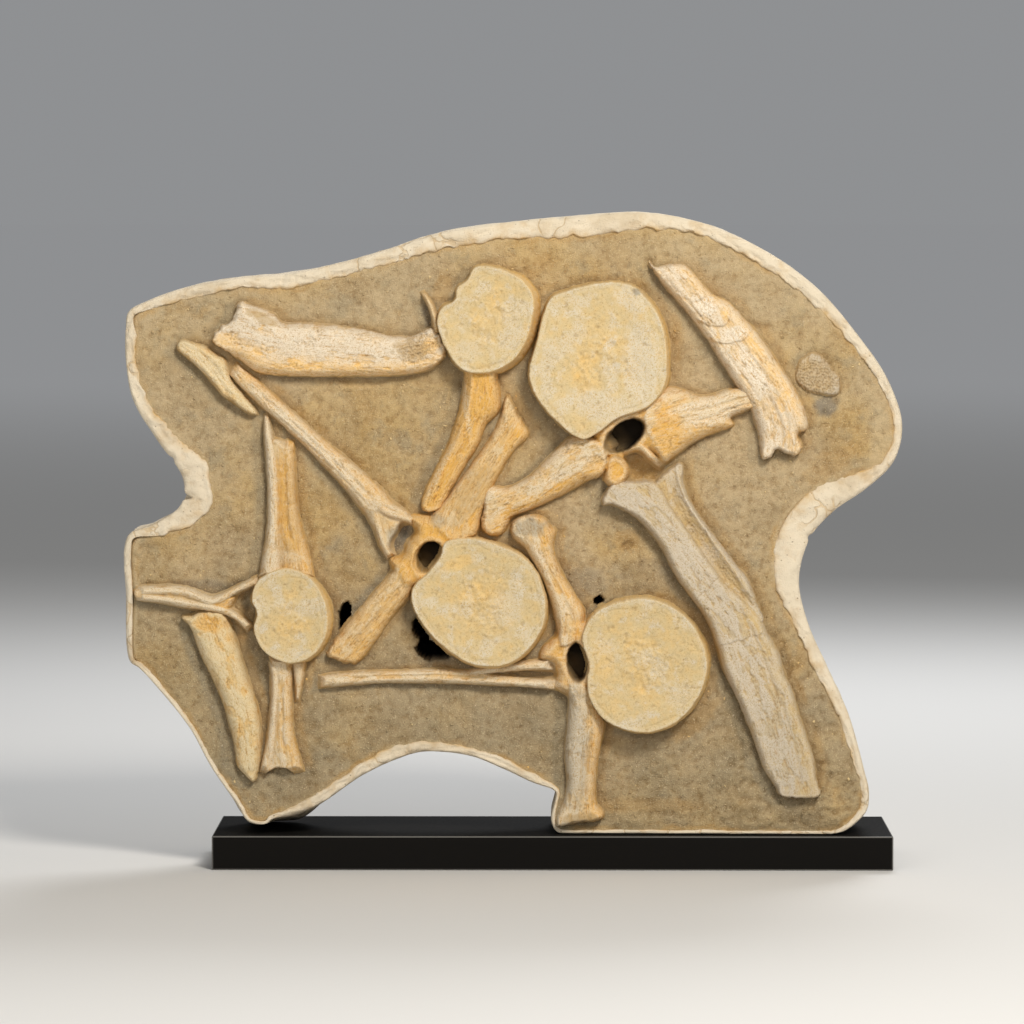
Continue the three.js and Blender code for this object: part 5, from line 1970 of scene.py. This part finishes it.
def fourth_processes() -> Bone:
    """Processes, splinter and spine of the fourth vertebra."""
    return Bone("fourth_processes",
        ["vertebra_4_upper_process", "vertebra_4_lower_process", "vertebra_4_splinter", "vertebra_4_spine"],
        "cream_bone", Finish.CREAM, 24,
        [Shaft([(-200.8, 295, 1.2, 5), (-199, 280, 3, 9), (-196.6, 261, 3.8, 10), (-195, 222, 4.6, 11),
                (-197, 190, 7, 12), (-198, 180, 8, 12)], End.WORN, End.JOINED, stain=(0.1, 0.0, 0.0),
                jag=0.3, rough=0.5),
            Shaft([(-187, 277, 5.6, 8), (-185.6, 254, 5.4, 9), (-185, 232, 6, 9.5),
                (-182.4, 209, 8, 10.5), (-179.5, 189, 11, 12), (-179, 180, 12, 12)], End.WORN, End.JOINED,
                stain=(0.3, 0.0, 0.75), furrows=[Furrow((-0.6, -0.3), (0.05, 0.7), 3.6, 2.4)], jag=2.4,
                rough=0.7),
            Shaft([(-190, 126, 9, 12), (-189, 112, 6.4, 9), (-188.2, 86, 5.4, 9), (-188.2, 71.6, 6.5, 9),
                (-186.4, 52, 9.5, 8), (-185, 43, 10.5, 7)], End.JOINED, End.WORN, stain=(0.2, 0.0, 0.6),
                furrows=[Furrow((-0.2, -0.2), (0.25, 0.75), 2.4, 1.4)], jag=1.0, rough=0.7),
            Shaft([(-196, 122, 3, 10), (-194.4, 110, 2.6, 9), (-196.4, 75, 3, 9), (-199, 58, 3.4, 8),
                (-202.5, 44, 3.4, 7)], End.JOINED, End.WORN, stain=(0.05, 0.0, 0.0), jag=0.4, rough=0.4),
            Shaft([(-178, 124, 5, 9), (-178, 110, 3.2, 7), (-179, 94, 1.0, 3)], End.JOINED, End.WORN,
                stain=(0.3, 0.0, 0.5), jag=0.3),
            Shaft([(-292, 171.5, 2.8, 8), (-275, 172, 3.2, 9), (-257.8, 171, 3.4, 9),
                (-238.3, 164.6, 3.2, 9.5), (-222, 172, 2.6, 9), (-206, 179.5, 3, 10)], End.WORN,
                End.JOINED, stain=(0.1, 0.1, 0.0), jag=0.4, rough=0.4),
            Shaft([(-292, 167.5, 2.6, 8), (-275, 166, 3.0, 9), (-258, 163, 3.2, 9),
                (-237, 159.4, 3.0, 9.5), (-223, 154.5, 2.6, 9), (-212, 145, 2.6, 9)], End.WORN,
                End.JOINED, stain=(0.1, 0.1, 0.0), jag=0.4, rough=0.4)],
        [Mound([(-198.5, 277), (-190, 277), (-186, 254), (-185, 230), (-182, 205), (-181, 186),
                (-198, 186), (-195, 222), (-196.5, 261)], 7.0, 2.0, 0.1),
            Mound(
                [(-196, 114), (-188, 114), (-188, 60), (-187, 45), (-202, 45), (-199, 58), (-196.4, 75)],
                6.5, 2.0, 0.1),
            Mound([(-243, 163), (-229, 169), (-222, 167), (-226, 160), (-228, 157), (-238, 159)], 7, 4, 0.8),
            Mound([(-293, 172), (-270, 172.5), (-256, 172), (-240, 166), (-234, 164), (-238, 159),
                (-258, 162.5), (-276, 165), (-293, 167)], 7.0, 1.5, 0.2)],
        [Hollow(-191.5, 40, 10, 8, 0, 14)],
        [Patch(STAIN, -184, 232, 10, 44, 3, 0.95), Patch(SOIL, -184, 228, 9, 46, 3, 0.3),
            Patch(CHALK, -198, 240, 3, 52, 3, 0.9), Patch(CHALK, -186, 196, 10, 5, 0, 0.6),
            Patch(CHALK, -197, 78, 3, 40, 0, 0.8)], 1.2)


def fifth_arch() -> Bone:
    """Arch, processes and long spine of the fifth vertebra."""
    return Bone("fifth_arch",
        ["vertebra_5_arch", "vertebra_5_upper_process", "vertebra_5_lower_process", "vertebra_5_spine"],
        "cream_bone", Finish.CREAM, 25,
        [Shaft([(-17, 224, 12, 12), (-9, 203, 11, 13), (-3, 186.5, 9.5, 12), (5, 170, 10, 12),
                (12, 152, 10, 13), (12, 134, 8, 13)], End.WORN, End.JOINED,
                [(-29.1, 215.2), (-26.9, 221.2), (-16.2, 225.1), (-5.5, 222.8), (-1.7, 217.4),
                    (2.1, 214.4), (0.6, 204.5), (2.1, 195.3), (8.2, 181.6), (15.8, 169.4), (22.7, 157.2),
                    (20.4, 143.5), (15.8, 135.8), (5.2, 132.8), (3.7, 143.5), (0.6, 157.2), (-5.5, 175.5),
                    (-13.2, 190.7), (-19.2, 201.4), (-26.9, 209)], (0.25, 0.0, 0.7),
                [Furrow((0.0, 0.2), (0.3, 0.8), 2.6, 1.1)], jag=0.8, rough=0.8),
            Shaft(
                [(19, 106, 9, 13), (23, 80, 12, 13), (21, 56, 12, 12), (20, 36, 10, 12), (19.5, 7, 14, 10)],
                End.JOINED, End.WORN,
                [(11.8, 108.4), (23.3, 106.2), (34.7, 84.3), (36.1, 75.3), (32.6, 56.6), (30.5, 36.5),
                    (31.2, 22.2), (36.1, 15), (34.7, 10.7), (16.1, 7.8), (3.2, 5.7), (2.5, 10.7),
                    (7.5, 22.2), (10.3, 36.5), (8.9, 56.6), (10.3, 75.3), (11.8, 94)], (0.1, 0.0, 0.9),
                [Furrow((0.35, 0.3), (0.3, 0.9), 2.4, 1.2), Furrow((0.0, 0.0), (0.45, 0.85), 1.8, 0.9)],
                [Flake(0.5, 3)], jag=0.8, rough=0.55),
            Shaft([(-163.5, 107.5, 4, 6), (-140, 110, 4.6, 7), (-121, 111, 4.2, 7), (-79, 111.5, 5, 8),
                (-50, 110, 4.6, 9), (-25, 107.5, 3.2, 9), (2, 105.5, 3.2, 10)], End.WORN, End.WORN,
                stain=(0.1, 0.15, 0.1), furrows=[Furrow((0.1, 0.2), (0.1, 0.75), 2.2, 1.6)], jag=0.8,
                rough=0.6),
            Shaft([(-62, 113, 2, 7), (-45, 116, 3, 8), (-20, 119, 3.4, 9), (1, 119.6, 3.6, 10)], End.WORN,
                End.WORN, stain=(0.05, 0.1, 0.1), jag=0.6, rough=0.4)],
        [Mound([(24, 150), (12, 150), (2, 140), (-7, 131), (-9, 124), (0, 121), (3, 113), (2, 104),
                (10, 99), (28, 97), (26, 120)], 12, 6, 0.75)],
        [CANALS[2], Hollow(-16, 216.4, 13.5, 7.4, 0, 1.6)],
        [Patch(SLATE, -16, 216.6, 13, 7, 0, 0.8), Patch(CHALK, 15, 66, 9, 42, 0, 1.0),
            Patch(SLATE, 15, 62, 12, 48, 0, 0.5), Patch(CHALK, -4, 119, 8, 4, 0, 0.9),
            Patch(CHALK, -6, 106, 14, 4, 0, 0.9), Patch(CHALK, -7, 182, 6, 30, 16, 0.8),
            Patch(SOIL, 20, 12, 14, 4, 0, 0.7)], 1.6)


def vertebral_wings() -> list[Bone]:
    """Arches, processes and spines of the vertebrae, not yet carved."""
    return [first_process(), second_arch(), third_arch(), third_spine(), fourth_processes(), fifth_arch()]


def first_rib() -> Bone:
    """The thick white rib at the upper left."""
    return Bone("first_rib", ["rib_1"], "rib_bone", Finish.WHITE_RIB, 31,
        [Shaft([(-232, 352, 12, 9), (-215, 350, 19, 12), (-195, 344, 20, 14), (-170, 340.5, 18, 14),
                (-142, 338.5, 17, 14), (-107, 336.5, 14, 13), (-84, 341, 13.5, 12), (-76, 343, 12, 11)],
                edge=[(-218.3, 373.9), (-222, 366), (-225, 360.6), (-231.8, 356.5), (-238.9, 347.2),
                    (-232.5, 341.8), (-223.8, 337.6), (-208, 325.4), (-188.2, 322.5), (-163.2, 321.8),
                    (-139, 322.1), (-114.8, 322.4), (-96.8, 324.2), (-84.5, 327.9), (-75, 338.8),
                    (-77, 348.1), (-82.7, 355.7), (-99, 349.7), (-114.4, 350.2), (-127, 353.3),
                    (-146, 356.6), (-163.2, 358.1), (-177.7, 358.7), (-189.8, 359.4), (-194.7, 365.4),
                    (-208, 370.3)], stain=(0.02, 1.0, 0.0), jag=2.4, shoulder=0.55, rough=0.45)],
        patches=[Patch(SPONGE, -94, 341, 16, 11, 15, 1.2),
            Patch(STAIN, -86, 343, 8, 6, 20, 0.9), Patch(SOIL, -97, 341, 14, 8, 0, 0.6),
            Patch(STAIN, -230, 346, 8, 7, 0, 0.7), Patch(SOIL, -203, 363, 12, 4, -25, 0.6),
            Patch(CHALK, -165, 346, 50, 9, -3, 0.75)])


def second_rib() -> Bone:
    """The flaked rib at the upper right."""
    return Bone("second_rib", ["rib_2"], "rib_bone", Finish.WHITE_RIB, 32,
        [Shaft([(76, 403, 13, 11), (107.5, 368, 14, 13), (131, 335.5, 15, 14), (148, 312.5, 17, 14),
                (159, 288, 17, 13), (161, 267, 14, 11)],
                edge=[(67.5, 401.5), (75, 389.4), (91.7, 370), (108.4, 347.7), (127.9, 317.1), (139, 299),
                    (144.6, 280.9), (147.3, 265), (153.6, 266), (156.4, 271), (164, 268.4), (171, 266.5),
                    (174.5, 272.6), (171.8, 281.7), (177.9, 285.1), (177.9, 293.5), (171, 310.2),
                    (158.5, 329.6), (143.2, 351.9), (133.4, 363), (122.3, 374.2), (111.2, 379.7),
                    (100.1, 392.3), (91.7, 399.8), (79.2, 399.8), (70.9, 398.5)], stain=(0.1, 0.0, 0.45),
                shoulder=0.55,
                furrows=[Furrow((-0.45, -0.4), (0.05, 0.95), 2.2, 0.7),
                    Furrow((0.4, 0.3), (0.5, 0.98), 2.4, 0.9),
                    Furrow((0.02, 0.05), (0.72, 1.0), 3.0, 1.8)],
                flakes=[Flake(0.225, 9, 1.0, 8, 0, (-0.2, 1.1)),
                    Flake(0.37, 19, 1.6, 10, -16, (-0.7, 0.95)),
                    Flake(0.455, 18, 1.5, 9, -7, (-0.8, 1.0))], jag=1.6, rough=0.65)],
        patches=[Patch(CHALK, 107, 371, 8, 9, 37, 1.0), Patch(CHALK, 128, 352, 9, 6, 15, 1.0),
            Patch(CHALK, 141, 326, 6, 24, 33, 1.0), Patch(STAIN, 104, 387, 9, 7, -40, 0.6),
            Patch(CHALK, 108, 347, 4, 62, 37, 0.8), Patch(STAIN, 152, 326, 4, 44, 33, 0.6)])


def third_rib() -> Bone:
    """The long grey rib at the right, with a strand along its upper part."""
    return Bone("third_rib", ["rib_3"], "rib_bone", Finish.GREY_RIB, 33,
        [Shaft([(50, 245, 18, 12), (68, 228, 19, 14), (97, 193, 19, 15), (126, 152, 20, 15),
                (146.5, 105, 20, 14), (157.5, 77.5, 20, 13), (164.5, 55, 18, 12), (172, 26, 15, 10)],
                edge=[(34.7, 232.3), (41.9, 247.2), (58, 248.5), (73.1, 247.9), (83, 232), (96.6, 213),
                    (119.1, 181), (135.3, 165.2), (144.5, 156.2), (151.2, 141.6), (159, 128.2),
                    (162.4, 114.8), (168, 102.4), (173.6, 84.4), (179.2, 67.6), (183.7, 53.1),
                    (185.4, 38.4), (188.2, 28.9), (173.6, 26.1), (160.1, 27.8), (156.8, 34), (149, 45.2),
                    (144.5, 57.6), (138.8, 73.2), (133.2, 87.8), (127.6, 100.1), (119.8, 116.9),
                    (115.3, 132.7), (110.8, 146.1), (105.2, 156.2), (91.4, 175), (84.8, 185.4), (77, 201),
                    (66.6, 215.3), (54.9, 225.7), (41.9, 232.3)], stain=(0.1, 0.1, 0.55),
                furrows=[Furrow((0.45, 0.35), (0.35, 0.95), 3.0, 0.9)],
                flakes=[Flake(0.36, -6), Flake(0.53, 6, 0.8, 30)], jag=1.4, boxy=3.0, shoulder=0.3,
                rough=0.5),
            Shaft(
                [(83, 257, 7, 8), (89, 237, 7, 9), (108, 207, 7, 9.5), (124, 183, 8, 10), (140, 160, 7, 11)],
                edge=[(72, 247), (79, 254.5), (90.4, 261.5), (91.8, 248), (97, 233.5), (107.4, 218),
                    (117.6, 204.6), (129, 189.3), (136.6, 180.2), (143.4, 163.3), (148, 150), (132, 152),
                    (116, 172), (100, 193), (86, 214), (75, 232)], stain=(0.35, 0.1, 0.0), jag=1.4,
                shoulder=0.4,
                furrows=[Furrow((0.5, 0.5), (0.02, 0.98), 3.4, -2.4),
                    Furrow((-0.5, -0.4), (0.05, 0.9), 5.0, 1.2)], rough=0.95)],
        patches=[Patch(CHALK, 98, 196, 8, 34, 38, 0.7),
            Patch(SPONGE, 104, 208, 4.5, 50, 37, 0.7),
            Patch(SOIL, 102, 212, 3.4, 46, 35, 0.35),
            Patch(CHALK, 114, 208, 2.5, 60, 37, 0.8), Patch(STAIN, 178, 60, 4, 40, 14, 0.6),
            Patch(SLATE, 162, 62, 14, 42, 18, 0.22)], blend=0.6)


def fourth_rib() -> Bone:
    """The short straw-coloured rib at the lower left."""
    return Bone("fourth_rib", ["rib_4"], "rib_bone", Finish.STRAW_RIB, 34,
        [Shaft([(-245, 156, 14, 9), (-232, 126.5, 14, 12), (-225, 105.5, 13, 12), (-217, 84, 11.5, 11),
                (-214, 60, 10, 10), (-210, 38, 6, 7)],
                edge=[(-259.8, 153), (-253.4, 154.2), (-244.7, 157.3), (-231.9, 156.8), (-225.4, 146),
                    (-220, 129.8), (-214.6, 111.5), (-209.2, 96.5), (-205.5, 81.4), (-204.9, 58.7),
                    (-207.1, 42.6), (-209.8, 37.2), (-214.6, 40.5), (-221.1, 48), (-223.2, 63),
                    (-226.5, 76), (-231.9, 94.3), (-239.4, 111.5), (-245.9, 124.5), (-251.2, 138.5),
                    (-254.4, 147.1)], stain=(0.15, 0.1, 0.25), jag=1.3, rough=0.4)],
        patches=[Patch(STAIN, -241, 149, 11, 7, -10, 0.9),
            Patch(SPONGE, -241, 150, 11, 6, -10, 0.7),
            Patch(CHALK, -246, 132, 5, 12, 25, 0.8)])


def splint_bone() -> Bone:
    """The splint beside the first rib."""
    return Bone("splint_bone", ["splint"], "rib_bone", Finish.STRAW_RIB, 35,
        [Shaft([(-261, 344, 4, 7), (-248, 337, 8, 9), (-234, 323, 9, 9), (-220, 306, 7, 9),
                (-208, 295.5, 4, 6)],
                edge=[(-262.6, 341.3), (-260.4, 347), (-250.9, 345.4), (-242.6, 342.3), (-236, 337.6),
                    (-229.3, 333.4), (-227.3, 326.3), (-224.6, 318.8), (-216, 308.3), (-206.6, 295),
                    (-214.5, 297), (-223, 303.2), (-231.3, 308.6), (-237, 315.6), (-242.6, 322.3),
                    (-250.3, 330), (-257, 335.8)], stain=(0.15, 0.4, 0.0), jag=0.8, boxy=3.0,
                shoulder=0.5, rough=0.55,
                furrows=[Furrow((0.3, 0.2), (0.05, 0.8), 2.2, 0.5),
                    Furrow((-0.2, -0.2), (0.2, 0.7), 1.8, 0.4)])],
        patches=[Patch(CHALK, -240, 328, 34, 7, -42, 0.85)])


def spongy_bone() -> Bone:
    """The scrap of spongy bone at the right."""
    return Bone("spongy_bone", ["spongy_scrap"], "rib_bone", Finish.GREY_RIB, 36, [],
        [Mound([(180.7, 338), (187.7, 336.6), (194.6, 328.2), (200.2, 321.3), (200.2, 310.1),
                (186.3, 309.4), (176.5, 313), (170.3, 321.3), (172.4, 331)], 4.0, 4, 0.1)],
        patches=[Patch(SPONGE, 185, 323, 19, 17, 0, 1.3),
            Patch(SOIL, 184, 322, 17, 14, 0, 0.5), Patch(STAIN, 176, 330, 5, 6, 0, 0.6),
            Patch(CHALK, 189, 331, 5, 3, 0, 0.6)])


def ribs() -> list[Bone]:
    """Ribs, splint and the scrap of spongy bone, not yet carved."""
    return [first_rib(), second_rib(), third_rib(), fourth_rib(), splint_bone(), spongy_bone()]


@dataclass(frozen=True)
class Studio:
    """Pale floor, soft light and the camera.

    Attributes:
        eye: Camera's place in millimetres.
        tilt: Degrees that it looks down.
        swing: Degrees that it looks to the left.
        lens: Focal length in millimetres on a 36 mm frame.
    """

    eye: tuple[float, float, float] = (0.0, -3855.0, 454.1)
    tilt: float = 3.0565
    swing: float = 0.4283
    lens: float = 190.93

    def camera(self) -> None:
        """Sets the camera at the photograph's viewing angle."""
        data = bpy.data.cameras.new("photo_camera")
        data.lens = self.lens
        data.sensor_width = 36.0
        data.clip_end = 1000.0
        camera = bpy.data.objects.new("photo_camera", data)
        camera.location = [value * MM for value in self.eye]
        camera.rotation_euler = (math.radians(90 - self.tilt), 0, math.radians(self.swing))
        bpy.context.scene.collection.objects.link(camera)
        bpy.context.scene.camera = camera

    def floor(self) -> None:
        """Lays a flat pale floor that runs out to the horizon on every side."""
        sides, radii = 96, (0.6, 1.5, 3.0, 6.0, 12.0, 30.0, 90.0, 270.0, 800.0)
        turns = 2 * np.pi * np.arange(sides) / sides
        points = [(0.0, 0.0, 0.0)] + [(r * math.cos(t), r * math.sin(t), 0.0) for r in radii for t in turns]
        i = np.arange(sides)
        j = (i + 1) % sides
        starts = 1 + sides * np.arange(len(radii) - 1)
        quads = np.vstack([np.stack([a + i, a + sides + i, a + sides + j, a + j], axis=1) for a in starts])
        hub = np.stack([0 * i, 1 + i, 1 + j], axis=1)
        floor = set_down(build_mesh("pale_floor", np.array(points), quads, hub))
        material, t, shader = start_material("pale_floor")
        place = t.place()
        far = t.add("ShaderNodeVectorMath", operation="LENGTH", _0=place).outputs["Value"]
        color = t.mix(t.span(far, 3.5, 12.0), (0.66, 0.65, 0.63), (0.99, 0.99, 0.99))
        t.tree.links.new(color, shader.inputs["Base Color"])
        shader.inputs["Roughness"].default_value = 0.85
        shader.inputs["Specular IOR Level"].default_value = 0.0
        dress(floor, material)

    @staticmethod
    def light(name: str, place: tuple[float, float, float], aim: tuple[float, float, float], size: float,
              power: float, color: Color) -> None:
        """Hangs one soft light.

        Args:
            name: Name of the light.
            place: Where it hangs, in metres.
            aim: Where it points, in metres.
            size: Width in metres.
            power: Watts.
            color: Its colour.
        """
        data = bpy.data.lights.new(name, "AREA")
        data.shape = "DISK"
        data.size = size
        data.energy = power
        data.color = color
        lamp = bpy.data.objects.new(name, data)
        lamp.location = place
        away = np.array(place) - np.array(aim)
        flat = math.hypot(away[0], away[1])
        lamp.rotation_euler = (math.atan2(flat, away[2]), 0, math.atan2(away[0], -away[1]))
        bpy.context.scene.collection.objects.link(lamp)

    def build(self) -> None:
        """Sets up the whole studio."""
        scene = bpy.context.scene
        scene.view_settings.view_transform = "Standard"
        world = bpy.data.worlds.new("soft_room")
        world.use_nodes = True
        world.node_tree.nodes["Background"].inputs[0].default_value = (0.95, 0.97, 1.0, 1.0)
        world.node_tree.nodes["Background"].inputs[1].default_value = 0.29
        scene.world = world
        middle = (0.0, 0.0, 0.25)
        self.light("key_light", (0.65, -1.8, 1.6), middle, 0.6, 44.0, (1.0, 0.95, 0.87))
        self.light("fill_light", (-1.3, -2.2, 0.8), middle, 1.4, 9.0, (1.0, 0.97, 0.93))
        self.light("back_light", (0.4, 1.6, 1.7), middle, 1.0, 30.0, (0.95, 0.97, 1.0))
        self.floor()
        self.camera()


def main() -> None:
    """Builds every piece, dresses it and sets the studio."""
    logging.basicConfig(level=logging.INFO, format="%(name)s: %(message)s")
    effects = Effects(grain_group(), mottle_group())
    recipes = {
        Finish.END_FACE: BoneFinish("end_face_bone", cream=(0.61, 0.48, 0.262), gold=(0.78, 0.50, 0.16),
                                    chalk=(0.65, 0.575, 0.44), fibre=0.2, cloudy=0.6),
        Finish.CREAM: BoneFinish("cream_bone"),
        Finish.GOLD: BoneFinish("gold_bone", cream=(0.66, 0.47, 0.235), chalk=(0.72, 0.58, 0.38)),
        Finish.WHITE_RIB: BoneFinish("white_rib_bone", cream=(0.66, 0.52, 0.34), gold=(0.86, 0.55, 0.195),
                                     chalk=(0.81, 0.725, 0.59)),
        Finish.GREY_RIB: BoneFinish("grey_rib_bone", cream=(0.52, 0.43, 0.295), gold=(0.58, 0.41, 0.17),
                                    chalk=(0.62, 0.55, 0.45), fibre=0.75, cloudy=0.7),
        Finish.STRAW_RIB: BoneFinish("straw_rib_bone", cream=(0.68, 0.53, 0.285), chalk=(0.73, 0.62, 0.42)),
    }
    finishes = {finish: recipe.make(effects) for finish, recipe in recipes.items()}
    bones: list[Bone] = [*vertebral_bodies(), *vertebral_wings(), *ribs()]
    for bone in bones:
        piece = bone.build()
        dress(piece, finishes[bone.finish])
        log.info("%s: %d faces", piece.name, len(piece.data.polygons))
    sandstone = SandstoneFinish().make(effects)
    bed = SandstoneBed().build(bones)
    dress(bed, sandstone)
    grains = Scatter("bed_grains", 26000.0, 0.0003, 0.0011, 5).build(bed, sandstone)
    pale = SandstoneFinish("pale_sandstone", (0.66, 0.52, 0.32), (0.68, 0.48, 0.22), (0.60, 0.51, 0.38))
    grit = Scatter("bed_grit", 20000.0, 0.0002, 0.0007, 6).build(bed, pale.make(effects))
    chips = Scatter("bed_chips", 900.0, 0.0004, 0.0012, 8).build(bed, finishes[Finish.STRAW_RIB])
    jacket = PlasterJacket().build()
    dress(jacket, PlasterFinish().make(effects))
    base = DisplayBase().build(effects)
    for piece in (bed, grains, grit, chips, jacket, base):
        log.info("%s: %d faces", piece.name, len(piece.data.polygons))
    Studio().build()


if __name__ == "__main__":
    main()
